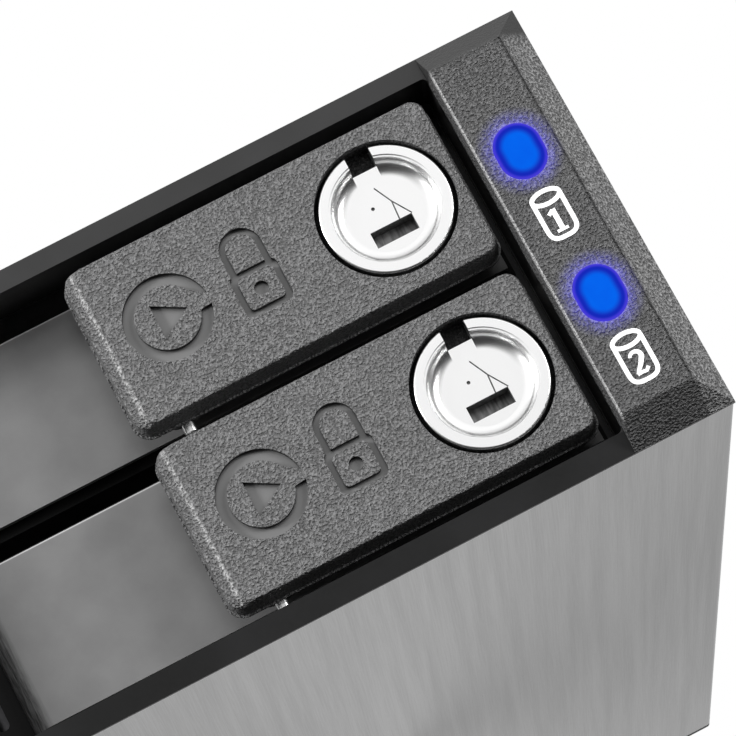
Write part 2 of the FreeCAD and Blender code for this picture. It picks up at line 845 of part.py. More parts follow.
def make_hinge_pin(level):
    low = level - lever_height / 2 - pin_below
    high = level + lever_height / 2 + pin_above
    pin = rod_z(pin_radius, hinge_x, hinge_y, low, high)
    ends = [edge for edge in pin.Edges if isinstance(edge.Curve, Part.Circle)]
    return pin.makeFillet(0.25, ends)


def make_lever_spring(level):
    """Close-wound torsion spring between the lugs: a scalloped sleeve of wire turns and two legs."""
    step = spring_wire * 1.8
    start = level - step * spring_coils / 2
    cusp = spring_radius + spring_wire * math.sqrt(1 - 0.9 ** 2)
    inner = spring_radius - spring_wire

    def at(radius, z):
        return Vector(hinge_x - radius, hinge_y, z)

    edges = [Part.LineSegment(at(inner, start), at(cusp, start)).toShape()]
    for index in range(spring_coils):
        z = start + index * step
        arc = Part.Arc(at(cusp, z), at(spring_radius + spring_wire, z + step / 2), at(cusp, z + step))
        edges.append(arc.toShape())
    end = start + spring_coils * step
    edges.append(Part.LineSegment(at(cusp, end), at(inner, end)).toShape())
    edges.append(Part.LineSegment(at(inner, end), at(inner, start)).toShape())
    section = Part.Face(Part.Wire(edges))
    coil = section.revolve(Vector(hinge_x, hinge_y, 0), Vector(0, 0, 1), 360)
    leg = spring_wire * 0.78
    leg_y = hinge_y - spring_radius + 0.07
    front_leg = rod_x(leg, leg_y, end - step / 2, hinge_x - 0.6, hinge_x + spring_leg)
    leg_end = edge_y + face_depth - 0.1
    back_leg = rod_y(leg, hinge_x + spring_radius - 0.07, start + step / 2, hinge_y - 0.5, leg_end)
    return joined([coil, front_leg, back_leg])


def lock_planes():
    face = lever_face_y + lock_set_back
    flange_back = face + lock_flange
    bearing_back = flange_back + lock_axial_gap + 1.5 + 2.1
    return face, flange_back, bearing_back


def make_lock_cup(level):
    """Plated lock barrel: notched rim, shallow cup with a key slot, and the shaft behind it."""
    face, flange_back, bearing_back = lock_planes()
    cam_y = bearing_back + 0.3
    floor_y = face + lock_floor_depth
    cup_top = lock_radius - lock_rim
    flange = rod_y(lock_radius, lock_x, level, face, flange_back)
    rim = [
        edge for edge in flange.Edges
        if isinstance(edge.Curve, Part.Circle) and abs(edge.CenterOfMass.y - face) < 0.01
    ]
    flange = flange.makeFillet(0.35, rim)
    shaft = rod_y(lock_shaft_radius, lock_x, level, flange_back - 0.5, cam_y)
    half = cam_square / 2
    spigot = box(lock_x - half, lock_x + half, cam_y - 0.5, cam_y + cam_sheet, level - half, level + half)
    barrel = joined([flange, shaft, spigot])
    bowl = make_lock_bowl(level, face, floor_y, cup_top)
    step = rod_y(cup_top + 0.35, lock_x, level, face - 1, face + 0.3)
    half_notch = lock_notch_width / 2
    notch_z = level + lock_notch_start
    notch = box(
        lock_x - half_notch, lock_x + half_notch, face - 1, flange_back + 1, notch_z, level + lock_radius + 1,
    )
    notch_floor = box(lock_x - half_notch, lock_x + half_notch, face - 1, floor_y, level, notch_z + 1)
    slot_z = level - key_slot_drop
    slot_x = lock_x - key_slot_offset
    slot = box(
        slot_x - key_slot_width / 2, slot_x + key_slot_width / 2, floor_y - 1, floor_y + key_slot_depth,
        slot_z - key_slot_height / 2, slot_z + key_slot_height / 2,
    )
    screw_hole = rod_y(screw_radius, lock_x, level, cam_y - 3.0, cam_y + cam_sheet + 1)
    lines = make_key_lines(level, floor_y, slot_z + key_slot_height / 2)
    return less(barrel, [bowl, step, notch, notch_floor, slot, screw_hole] + lines).removeSplitter()


def make_lock_bowl(level, face, floor_y, top):
    """The hollow of the cup: a short straight wall that runs into the floor in one round sweep."""
    low = top - lock_dish
    turn = math.sqrt(0.5) * lock_dish

    def at(radius, y):
        return Vector(lock_x + radius, y, level)

    sweep = Part.Arc(
        at(top, floor_y - lock_dish), at(low + turn, floor_y - lock_dish + turn), at(low, floor_y),
    )
    edges = [
        Part.LineSegment(at(0, face - 1), at(top, face - 1)).toShape(),
        Part.LineSegment(at(top, face - 1), at(top, floor_y - lock_dish)).toShape(),
        sweep.toShape(),
        Part.LineSegment(at(low, floor_y), at(0, floor_y)).toShape(),
        Part.LineSegment(at(0, floor_y), at(0, face - 1)).toShape(),
    ]
    section = Part.Face(Part.Wire(edges))
    return section.revolve(Vector(lock_x, 0, level), Vector(0, 1, 0), 360)


def make_key_lines(level, floor_y, slot_top):
    """Fine cuts in the cup's floor: a three-sided key mark above the slot, and a centre punch."""
    left = (lock_x + 1.35, slot_top)
    right = (lock_x + 3.55, slot_top)
    crown = (lock_x + 1.6, slot_top + 3.2)
    tip = (lock_x + 0.1, slot_top + 6.4)
    lines = [rod_y(0.3, lock_x - 1.6, level + 1.7, floor_y - 1, floor_y + 0.4)]
    for start, end in ((left, crown), (right, crown), (crown, tip)):
        run = math.hypot(end[0] - start[0], end[1] - start[1])
        across_x = -(end[1] - start[1]) / run * key_line / 2
        across_z = (end[0] - start[0]) / run * key_line / 2
        lines.append(prism([
            (start[0] - across_x, start[1] - across_z), (end[0] - across_x, end[1] - across_z),
            (end[0] + across_x, end[1] + across_z), (start[0] + across_x, start[1] + across_z),
        ], floor_y - 1, floor_y + 0.25))
    return lines


def make_lock_cam(level):
    """Steel tongue on the lock's square; it points up when the lever is free to open."""
    cam_y = lock_planes()[2] + 0.3
    hub = rod_y(cam_hub, lock_x, level, cam_y, cam_y + cam_sheet)
    half_tongue = cam_width / 2
    tongue = box(
        lock_x - half_tongue, lock_x + half_tongue, cam_y, cam_y + cam_sheet, level, level + cam_reach,
    )
    half = cam_square / 2
    square = box(lock_x - half, lock_x + half, cam_y - 1, cam_y + cam_sheet + 1, level - half, level + half)
    return less(joined([hub, tongue]), [square])


def make_lock_screw(level):
    cam_back = lock_planes()[2] + 0.3 + cam_sheet
    return rear_screw(lock_x, level, cam_back, 3.5)


def make_lock_keeper(level):
    """Folded steel hook on the tray that the lock's tongue turns behind."""
    cam_y = lock_planes()[2] + 0.3
    hook_y = cam_y - keeper_gap - keeper_sheet
    post_x = lock_x + math.hypot(cam_reach, cam_width / 2) + 0.5
    foot_y = edge_y + face_depth
    low = level - 5.0
    high = level + 5.0
    post = box(post_x, post_x + keeper_sheet, hook_y, foot_y, low, high)
    hook = box(post_x - 3.0, post_x + keeper_sheet, hook_y, hook_y + keeper_sheet, low, high)
    foot = box(post_x - 3.0, post_x + keeper_sheet, foot_y - keeper_sheet, foot_y, low, high)
    return joined([post, hook, foot])


# ---- drives -------------------------------------------------------------------------------------
def drive_base(level):
    return level - (lever_height + tray_front_extra) / 2 + 0.2 + tray_floor


def drive_plug_box(base, grow):
    middle = bay_mid + drive_plug_offset
    return (
        middle - drive_plug_width / 2 - grow, middle + drive_plug_width / 2 + grow,
        base + 2.2 - grow, base + 7.4 + grow,
    )


def make_drive_case(level):
    """Cast drive body with a recess for its circuit board, rear plug opening and side screw holes."""
    base = drive_base(level)
    half = drive_width / 2
    top = base + drive_height - drive_lid
    block = box(bay_mid - half, bay_mid + half, drive_front_y, drive_back_y, base, top)
    upright = [edge for edge in block.Edges if abs(edge.BoundBox.ZLength - (top - base)) < 0.01]
    block = block.makeFillet(2.0, upright)
    pocket = box(
        bay_mid - half + 3.0, bay_mid + half - 3.0, drive_back_y - drive_pocket_front,
        drive_back_y - drive_pocket_back, base - 1, base + drive_board + 0.3,
    )
    x0, x1, z0, z1 = drive_plug_box(base, 0.6)
    plug = box(x0, x1, drive_back_y - socket_overlap - 2.5, drive_back_y + 1, z0, z1)
    cutters = [pocket, plug]
    screw_z = base + drive_screw_rise
    for place in drive_screw_places:
        y = drive_front_y + place
        cutters.append(rod_x(screw_radius, y, screw_z, bay_mid - half - 1, bay_mid - half + 4.0))
        cutters.append(rod_x(screw_radius, y, screw_z, bay_mid + half - 4.0, bay_mid + half + 1))
    return less(block, cutters)


def make_drive_lid(level):
    """Pressed lid with a raised round field over the disks."""
    top = drive_base(level) + drive_height
    half = drive_width / 2 - drive_lid_inset
    plate = box(
        bay_mid - half, bay_mid + half, drive_front_y + drive_lid_inset, drive_back_y - drive_lid_inset,
        top - drive_lid, top - 0.3,
    )
    upright = [edge for edge in plate.Edges if abs(edge.BoundBox.ZLength - (drive_lid - 0.3)) < 0.01]
    plate = plate.makeFillet(6.0, upright)
    field = rod_z(42.0, bay_mid, drive_front_y + 50.0, top - drive_lid + 0.1, top)
    pad = box(
        bay_mid - 16.0, bay_mid + 28.0, drive_front_y + 98.0, drive_back_y - 14.0, top - drive_lid + 0.1, top,
    )
    return joined([plate, field, pad])


def make_drive_board(level):
    base = drive_base(level)
    half = drive_width / 2 - 3.4
    return box(
        bay_mid - half, bay_mid + half, drive_back_y - drive_pocket_front + 0.4,
        drive_back_y - drive_pocket_back - 0.4, base + 0.3, base + drive_board,
    )


def make_drive_screws(level):
    screw_z = drive_base(level) + drive_screw_rise
    screws = []
    for side in (-1, 1):
        seat_x = bay_mid + side * (tray_half - side_head_height)
        for place in drive_screw_places:
            screws.append(side_screw(side, drive_front_y + place, screw_z, seat_x, drive_screw_length))
    return Part.makeCompound(screws)


# ---- boards -------------------------------------------------------------------------------------
def make_backplane():
    board = box(
        pan_left + sheet + 0.5, board_x - 0.5, backplane_y, backplane_y + board_thickness,
        floor_top + 0.6, roof_low - 0.6,
    )
    windows = []
    for level in tray_levels.values():
        windows.append(slab(
            bay_mid + 12.0, bay_mid + 42.0, level - 9.0, level + 9.0, 2.0, backplane_y - 1, backplane_y + 3,
        ))
    return less(board, windows)


def make_drive_sockets():
    sockets = []
    for level in tray_levels.values():
        x0, x1, z0, z1 = drive_plug_box(drive_base(level), 0.0)
        body = box(x0, x1, backplane_y - socket_reach, backplane_y, z0, z1)
        mouth = box(
            x0 + 1.2, x1 - 1.2, backplane_y - socket_reach - 1, backplane_y - 2.0,
            (z0 + z1) / 2 - 1.2, (z0 + z1) / 2 + 1.2,
        )
        sockets.append(less(body, [mouth]))
    return Part.makeCompound(sockets)


board_front_y = sheet_front_y + 42.0
board_back_y = panel_front_y - 1.6
board_low = floor_top + 3.6
board_high = roof_low - 3.6
stand_places = (
    (board_front_y + 6.0, board_low + 5.0), (board_front_y + 6.0, board_high - 5.0),
    (backplane_y - 12.0, board_low + 5.0), (backplane_y - 12.0, board_high - 5.0),
)


def make_main_board():
    board = box(board_x, board_x + board_thickness, board_front_y, board_back_y, board_low, board_high)
    holes = [rod_x(screw_radius, y, z, board_x - 1, board_x + 3) for y, z in stand_places]
    return less(board, holes)


def make_board_standoffs():
    stands = []
    for y, z in stand_places:
        stands.append(rod_x(2.6, y, z, guide_right + sheet, board_x))
    return Part.makeCompound(stands)


def make_board_screws():
    screws = []
    seat = board_x + board_thickness
    for y, z in stand_places:
        head = rod_x(2.6, y, z, seat, seat + 1.2)
        shank = rod_x(screw_radius, y, z, board_x, seat)
        screws.append(joined([head, shank]))
    return Part.makeCompound(screws)


def make_board_chips():
    """Processor, memory and power parts on the side of the board that faces the drive bay."""
    chips = []
    middle = (board_low + board_high) / 2
    y = board_front_y + 42.0
    chips.append(box(board_x - 1.4, board_x, y - 9.0, y + 9.0, middle - 9.0, middle + 9.0))
    for z in (middle - 18.0, middle + 18.0):
        chips.append(box(board_x - 1.1, board_x, y - 22.0, y - 12.0, z - 6.0, z + 6.0))
        chips.append(rod_x(3.2, y + 26.0, z, board_x - 7.0, board_x))
    return Part.makeCompound(chips)


def make_heat_sink():
    middle = (board_low + board_high) / 2
    y = board_front_y + 42.0
    seat = board_x - 1.4
    parts = [box(seat - 1.6, seat, y - 12.0, y + 12.0, middle - 12.0, middle + 12.0)]
    for index in range(7):
        z = middle - 12.0 + index * 3.8
        parts.append(box(seat - 6.2, seat - 1.5, y - 12.0, y + 12.0, z, z + 1.2))
    return joined(parts)


# ---- sockets and controls on the rear panel -------------------------------------------------------
jack_depth = 19.0
jack_width = 15.9
jack_tall = 13.2
jack_low = floor_top + tab_height + 1.5
usb_width = 13.1
usb_tall = 5.7
usb_wall = 0.4
usb_levels = (jack_low + jack_width + 2.5 + usb_width / 2, jack_low + jack_width + 4.0 + usb_width * 1.5)


def make_network_jack():
    body = box(
        board_x - jack_tall, board_x, panel_back_y - jack_depth, panel_back_y,
        jack_low, jack_low + jack_width,
    )
    middle = jack_low + jack_width / 2
    mouth = box(
        board_x - 10.6, board_x - 2.4, panel_back_y - 13.0, panel_back_y + 1, middle - 5.9, middle + 5.9,
    )
    key = box(
        board_x - 12.2, board_x - 10.0, panel_back_y - 9.0, panel_back_y + 1, middle - 3.2, middle + 3.2,
    )
    return less(body, [mouth, key])


def make_jack_contacts():
    middle = jack_low + jack_width / 2
    wires = []
    for index in range(8):
        z = middle - 3.57 + index * 1.02
        wires.append(box(
            board_x - 3.4, board_x - 2.4, panel_back_y - 12.9, panel_back_y - 3.0, z - 0.2, z + 0.2,
        ))
    return Part.makeCompound(wires)


def make_usb_sockets():
    """Two upright sockets, each a pressed shell with a contact tongue inside."""
    pieces = []
    for level in usb_levels:
        x1 = board_x - 0.8
        x0 = x1 - usb_tall
        outer = box(x0, x1, panel_back_y - 14.0, panel_back_y, level - usb_width / 2, level + usb_width / 2)
        inner = box(
            x0 + usb_wall, x1 - usb_wall, panel_back_y - 13.0, panel_back_y + 1,
            level - usb_width / 2 + usb_wall, level + usb_width / 2 - usb_wall,
        )
        pieces.append(less(outer, [inner]))
        tongue_x = x1 - usb_wall
        pieces.append(box(
            tongue_x - 2.0, tongue_x - 0.3, panel_back_y - 13.0, panel_back_y - 1.0, level - 5.6, level + 5.6,
        ))
    return Part.makeCompound(pieces)


rocker_z = mid_z + 8.0
rocker_frame_wide = rocker_width + 2 * rocker_clearance + 3.4
rocker_frame_tall = rocker_height + 2 * rocker_clearance + 3.4
rocker_axis_y = panel_back_y - 3.4
reset_z = rocker_z + rocker_frame_tall / 2 + 6.0


def make_power_jack():
    flange = rod_y(6.4, control_x, jack_rise, panel_back_y, panel_back_y + 1.2)
    barrel = rod_y(jack_radius, control_x, jack_rise, panel_back_y - 13.0, panel_back_y)
    bore = rod_y(3.2, control_x, jack_rise, panel_back_y - 9.5, panel_back_y + 2)
    pin = rod_y(1.0, control_x, jack_rise, panel_back_y - 10.0, panel_back_y - 1.0)
    return joined([less(joined([flange, barrel]), [bore]), pin])


def make_switch_housing():
    half_x = rocker_frame_wide / 2
    half_z = rocker_frame_tall / 2
    flange = slab(
        control_x - half_x, control_x + half_x, rocker_z - half_z, rocker_z + half_z, 1.5,
        panel_back_y, panel_back_y + 1.2,
    )
    inner_x = half_x - 1.0
    inner_z = half_z - 1.0
    body = box(
        control_x - inner_x, control_x + inner_x, panel_back_y - 12.0, panel_back_y + 0.5,
        rocker_z - inner_z, rocker_z + inner_z,
    )
    opening_x = rocker_width / 2 + rocker_clearance
    opening_z = rocker_height / 2 + rocker_clearance
    opening = box(
        control_x - opening_x, control_x + opening_x, panel_back_y - 9.5, panel_back_y + 2,
        rocker_z - opening_z, rocker_z + opening_z,
    )
    axle = rod_x(1.2, rocker_axis_y, rocker_z, control_x - opening_x - 0.9, control_x + opening_x + 0.9)
    return less(joined([flange, body]), [opening, axle])


def make_power_rocker():
    """Rocker with two sloping halves, tilted to its off side."""
    half_x = rocker_width / 2
    half_z = rocker_height / 2 - 0.6
    tip_y = panel_back_y + 1.4
    mid_y = panel_back_y + 0.2
    profile = [
        Vector(0, rocker_axis_y - 3.0, rocker_z - half_z + 1.5), Vector(0, tip_y - 0.6, rocker_z - half_z),
        Vector(0, tip_y, rocker_z - half_z + 0.8), Vector(0, mid_y, rocker_z),
        Vector(0, tip_y, rocker_z + half_z - 0.8), Vector(0, tip_y - 0.6, rocker_z + half_z),
        Vector(0, rocker_axis_y - 3.0, rocker_z + half_z - 1.5),
    ]
    for corner in profile:
        corner.x = control_x - half_x
    body = Part.Face(Part.makePolygon(profile + profile[:1])).extrude(Vector(rocker_width, 0, 0))
    axle = rod_x(1.15, rocker_axis_y, rocker_z, control_x - half_x - 1.0, control_x + half_x + 1.0)
    whole = joined([body, axle])
    whole.rotate(Vector(control_x, rocker_axis_y, rocker_z), Vector(1, 0, 0), rocker_tilt)
    return whole


def make_reset_button():
    stem = rod_y(reset_radius, control_x, reset_z, panel_front_y - 2.6, panel_back_y + reset_reach)
    rim = [
        edge for edge in stem.Edges
        if isinstance(edge.Curve, Part.Circle) and edge.CenterOfMass.y > panel_back_y
    ]
    stem = stem.makeFillet(0.3, rim)
    collar = rod_y(reset_radius + 0.8, control_x, reset_z, panel_front_y - 2.6, panel_front_y - 1.6)
    return joined([stem, collar])


def make_reset_switch():
    """Small push switch behind the reset button, held on the panel by its two arms."""
    back = panel_front_y - 2.6 - reset_reach - 0.1
    body = box(control_x - 4.5, control_x + 4.5, back - 3.0, back, reset_z - 4.0, reset_z + 4.0)
    arms = []
    for side in (-1, 1):
        x = sorted((control_x + side * 3.4, control_x + side * 4.5))
        arms.append(box(x[0], x[1], back - 0.5, panel_front_y, reset_z - 4.0, reset_z + 4.0))
    return joined([body] + arms)


def fan_screw_places():
    half = fan_hole_pitch / 2
    return [(fan_x + sx * half, mid_z + sz * half) for sx in (-1, 1) for sz in (-1, 1)]


def make_rear_panel():
    panel = slab(-half_width, half_width, 0, case_height, sleeve_corner, panel_front_y, panel_back_y)
    y0 = panel_front_y - 1
    y1 = panel_back_y + 1
    gap = hole_gap
    cutters = [rod_y(fan_bore, fan_x, mid_z, y0, y1)]
    for x, z in fan_screw_places():
        cutters.append(rod_y(screw_radius + gap, x, z, y0, y1))
    for level in tab_levels():
        for x in panel_screw_x:
            cutters.append(rod_y(screw_radius + gap, x, level, y0, y1))
    cutters.append(box(
        board_x - jack_tall - gap, board_x + gap, y0, y1, jack_low - gap, jack_low + jack_width + gap,
    ))
    for level in usb_levels:
        cutters.append(box(
            board_x - 0.8 - usb_tall - gap, board_x - 0.8 + gap, y0, y1,
            level - usb_width / 2 - gap, level + usb_width / 2 + gap,
        ))
    cutters.append(rod_y(jack_radius + gap, control_x, jack_rise, y0, y1))
    half_x = rocker_frame_wide / 2 - 1.0
    half_z = rocker_frame_tall / 2 - 1.0
    cutters.append(box(control_x - half_x, control_x + half_x, y0, y1, rocker_z - half_z, rocker_z + half_z))
    cutters.append(rod_y(reset_radius + reset_clearance, control_x, reset_z, y0, y1))
    for index in range(3):
        x = fan_x + fan_size / 2 + 5.0 + index * 4.2
        cutters.append(slab(x, x + 2.0, mid_z - 20.0, mid_z + 20.0, 0.9, y0, y1))
    return less(panel, cutters)


def make_panel_screws():
    screws = []
    for level in tab_levels():
        for x in panel_screw_x:
            screws.append(rear_screw(x, level, panel_back_y, 3.0))
    return Part.makeCompound(screws)


# ---- fan ------------------------------------------------------------------------------------------
def make_fan_frame():
    y0 = panel_front_y - fan_thickness
    half = fan_size / 2
    frame = slab(fan_x - half, fan_x + half, mid_z - half, mid_z + half, 3.0, y0, panel_front_y)
    bore = rod_y(fan_bore, fan_x, mid_z, y0 - 1, panel_front_y + 1)
    waist = rod_y(half + 2.0, fan_x, mid_z, y0 + fan_flange, panel_front_y - fan_flange)
    keep = rod_y(half - 0.4, fan_x, mid_z, y0, panel_front_y)
    middle = box(
        fan_x - half - 1, fan_x + half + 1, y0 + fan_flange, panel_front_y - fan_flange,
        mid_z - half - 1, mid_z + half + 1,
    )
    frame = less(frame, [middle.cut(keep).cut(waist), bore])
    posts = []
    for x, z in fan_screw_places():
        posts.append(rod_y(3.4, x, z, y0 + 1, panel_front_y - 1))
    ring = joined([frame] + posts)
    ring = less(ring, [bore])
    hub_y = panel_front_y - 2.4
    parts = [ring, rod_y(fan_hub - 0.6, fan_x, mid_z, hub_y, panel_front_y)]
    parts.append(rod_y(fan_hub - 2.6, fan_x, mid_z, hub_y - 7.0, hub_y + 1))
    for turn in (45, 135, 225, 315):
        strut = box(fan_hub - 2.0, fan_bore + 0.6, hub_y, panel_front_y, -1.3, 1.3)
        strut.rotate(Vector(0, 0, 0), Vector(0, 1, 0), turn)
        strut.translate(Vector(fan_x, 0, mid_z))
        parts.append(strut)
    holes = [rod_y(fan_axle + 0.05, fan_x, mid_z, hub_y - 8.0, hub_y + 1.2)]
    for x, z in fan_screw_places():
        holes.append(rod_y(screw_radius, x, z, y0 - 1, panel_front_y + 1))
    return less(joined(parts), holes)


def make_fan_rotor():
    """Cup-shaped hub on an axle, with blades set at an angle."""
    y0 = panel_front_y - fan_thickness + 1.0
    y1 = panel_front_y - 3.2
    cup = rod_y(fan_hub, fan_x, mid_z, y0, y1)
    rim = [
        edge for edge in cup.Edges
        if isinstance(edge.Curve, Part.Circle) and abs(edge.CenterOfMass.y - y0) < 0.01
    ]
    cup = cup.makeFillet(0.8, rim)
    cup = less(cup, [rod_y(fan_hub - 1.4, fan_x, mid_z, y0 + 1.4, y1 + 1)])
    axle = rod_y(fan_axle, fan_x, mid_z, y0 + 1.0, panel_front_y - 2.6)
    tip = fan_bore - fan_tip_gap
    ring = rod_y(tip, fan_x, mid_z, y0 + 0.6, y1 - 0.4).cut(rod_y(fan_hub - 0.6, fan_x, mid_z, y0, y1))
    parts = [cup, axle]
    for index in range(fan_blades):
        blade = box(fan_hub - 1.5, tip + 2.0, -9.0, 9.0, -0.65, 0.65)
        blade.rotate(Vector(0, 0, 0), Vector(1, 0, 0), 48)
        blade.translate(Vector(0, (y0 + y1) / 2, 0))
        blade.rotate(Vector(0, 0, 0), Vector(0, 1, 0), 360.0 * index / fan_blades + 12)
        blade.translate(Vector(fan_x, 0, mid_z))
        parts.append(blade.common(ring))
    return joined(parts)


def make_fan_guard():
    """Wire guard: round rings welded on four arms that end in screw eyes."""
    arm_y = panel_back_y + guard_wire
    ring_y = arm_y + guard_lift
    parts = []
    for radius in (6.0, 12.0, 18.0, 24.0):
        parts.append(Part.makeTorus(radius, guard_wire, Vector(fan_x, ring_y, mid_z), Vector(0, 1, 0)))
    reach = fan_hole_pitch / 2 * math.sqrt(2)
    for turn in (45, 135, 225, 315):
        arm = Part.makeCylinder(guard_wire * 0.95, reach - 6.4, Vector(4.0, 0, 0), Vector(1, 0, 0))
        arm.rotate(Vector(0, 0, 0), Vector(0, 1, 0), turn)
        arm.translate(Vector(fan_x, arm_y, mid_z))
        parts.append(arm)
    for x, z in fan_screw_places():
        eye = rod_y(3.4, x, z, panel_back_y, panel_back_y + 2 * guard_wire)
        parts.append(less(eye, [rod_y(screw_radius + hole_gap, x, z, panel_back_y - 1, panel_back_y + 3)]))
    return joined(parts)


def make_fan_screws():
    seat = panel_back_y + 2 * guard_wire
    return Part.makeCompound([rear_screw(x, z, seat, 10.0) for x, z in fan_screw_places()])


# ---- everything -----------------------------------------------------------------------------------
def main():
    save("outer_shell", make_outer_shell())
    save("front_bezel", make_front_bezel())
    save("indicator_strip", make_indicator_strip())
    for number, level in enumerate(lens_levels, 1):
        save("led_lens_%d" % number, make_led_lens(level))
    save("led_board", make_led_board())
    save("led_chips", make_led_chips())
    save("base_pan", make_base_pan())
    save("cage_wall", make_cage_wall())
    save("top_plate", make_top_plate())
    save("bay_divider", make_bay_divider())
    save("guide_left", make_guide(-1))
    save("guide_right", make_guide(1))
    for number, level in tray_levels.items():
        pieces = {
            "tray_carrier": make_tray_carrier, "tray_face": make_tray_face, "lever": make_lever,
            "hinge_pin": make_hinge_pin, "lever_spring": make_lever_spring, "lock_cup": make_lock_cup,
            "lock_cam": make_lock_cam, "lock_screw": make_lock_screw, "lock_keeper": make_lock_keeper,
            "drive_case": make_drive_case, "drive_lid": make_drive_lid, "drive_board": make_drive_board,
            "drive_screws": make_drive_screws,
        }
        for name, make in pieces.items():
            save("%s_%d" % (name, number), make(level))
    save("backplane", make_backplane())
    save("drive_sockets", make_drive_sockets())
    save("main_board", make_main_board())
    save("board_standoffs", make_board_standoffs())
    save("board_screws", make_board_screws())
    save("board_chips", make_board_chips())
    save("heat_sink", make_heat_sink())
    save("network_jack", make_network_jack())
    save("jack_contacts", make_jack_contacts())
    save("usb_sockets", make_usb_sockets())
    save("power_jack", make_power_jack())
    save("switch_housing", make_switch_housing())
    save("power_rocker", make_power_rocker())
    save("reset_button", make_reset_button())
    save("reset_switch", make_reset_switch())
    save("rear_panel", make_rear_panel())
    save("panel_screws", make_panel_screws())
    save("fan_frame", make_fan_frame())
    save("fan_rotor", make_fan_rotor())
    save("fan_guard", make_fan_guard())
    save("fan_screws", make_fan_screws())


main()
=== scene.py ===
import math

import bpy
import numpy as np
from mathutils import Matrix, Vector


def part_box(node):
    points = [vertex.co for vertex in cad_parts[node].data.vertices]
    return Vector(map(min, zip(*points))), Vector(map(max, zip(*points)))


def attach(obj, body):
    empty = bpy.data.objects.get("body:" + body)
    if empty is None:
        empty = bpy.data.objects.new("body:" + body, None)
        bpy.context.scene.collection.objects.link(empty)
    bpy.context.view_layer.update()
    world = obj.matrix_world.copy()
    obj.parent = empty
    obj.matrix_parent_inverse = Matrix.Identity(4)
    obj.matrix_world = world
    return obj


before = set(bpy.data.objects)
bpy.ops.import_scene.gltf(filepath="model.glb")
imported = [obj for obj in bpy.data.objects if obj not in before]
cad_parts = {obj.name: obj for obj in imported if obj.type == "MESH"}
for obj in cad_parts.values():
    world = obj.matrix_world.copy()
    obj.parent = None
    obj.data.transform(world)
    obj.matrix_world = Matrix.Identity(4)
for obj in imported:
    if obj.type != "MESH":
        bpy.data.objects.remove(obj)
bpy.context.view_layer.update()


# Outer sleeve: one length of extruded aluminium tube, brushed from front to back and clear
# anodised. The front frame plugs into one end of it and the rear panel closes the other. A ragged
# bright band along the front cut is a painted highlight.
mm = 0.001
sleeve_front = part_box("outer_shell")[0].y
edge_highlight_depth = 0.75 * mm
edge_highlight_softness = 0.2 * mm
edge_highlight_raggedness = 0.9 * mm


class Wire:
    """A value inside a node tree. Arithmetic on it adds Math nodes to that tree."""

    def __init__(self, nodes, socket):
        self.nodes = nodes
        self.socket = socket

    def _math(self, operation, *values):
        settings = {"operation": operation}
        return self.nodes.node("ShaderNodeMath", settings, dict(enumerate(values)))

    def __add__(self, other):
        return self._math("ADD", self, other)

    def __radd__(self, other):
        return self._math("ADD", other, self)

    def __sub__(self, other):
        return self._math("SUBTRACT", self, other)

    def __rsub__(self, other):
        return self._math("SUBTRACT", other, self)

    def __mul__(self, other):
        return self._math("MULTIPLY", self, other)

    def __rmul__(self, other):
        return self._math("MULTIPLY", other, self)

    def __pow__(self, other):
        return self._math("POWER", self, other)

    def root(self):
        return self._math("SQRT", self)

    def size(self):
        return self._math("ABSOLUTE", self)

    def least(self, other):
        return self._math("MINIMUM", self, other)

    def most(self, other):
        return self._math("MAXIMUM", self, other)

    def step(self, low, high):
        """0 below low, 1 above high, smooth between; with low above high it runs the other way."""
        settings = {"interpolation_type": "SMOOTHSTEP"}
        inputs = {"Value": self, "From Min": low, "From Max": high}
        return self.nodes.node("ShaderNodeMapRange", settings, inputs)


class Nodes:
    """A node tree, and the ways to add to it."""

    def __init__(self, tree):
        self.tree = tree

    def node(self, kind, settings=None, inputs=None, output=0):
        """A new node: its settings are set first, then the values or links of its sockets."""
        made = self.tree.nodes.new(kind)
        for name, value in (settings or {}).items():
            if name == "stops":
                self.set_stops(made.color_ramp.elements, value)
            else:
                setattr(made, name, value)
        for name, value in (inputs or {}).items():
            if isinstance(value, Wire):
                self.tree.links.new(value.socket, made.inputs[name])
            else:
                made.inputs[name].default_value = value
        return Wire(self, made.outputs[output]) if made.outputs else None

    def set_stops(self, elements, stops):
        """Grey levels of a ramp: each stop is a position and a level."""
        while len(elements) < len(stops):
            elements.new(0.5)
        for element, (position, level) in zip(elements, stops):
            element.position = position
            element.color = (level, level, level, 1)

    def split(self, vector):
        parts = self.node("ShaderNodeSeparateXYZ", inputs={"Vector": vector}).socket.node
        return [Wire(self, parts.outputs[axis]) for axis in "XYZ"]

    def blend(self, amount, dark, light):
        """The colour dark where amount is 0 and light where it is 1."""
        ends = [value if isinstance(value, Wire) else (*value, 1) for value in (dark, light)]
        inputs = {0: amount, 6: ends[0], 7: ends[1]}
        return self.node("ShaderNodeMix", {"data_type": "RGBA"}, inputs, output=2)


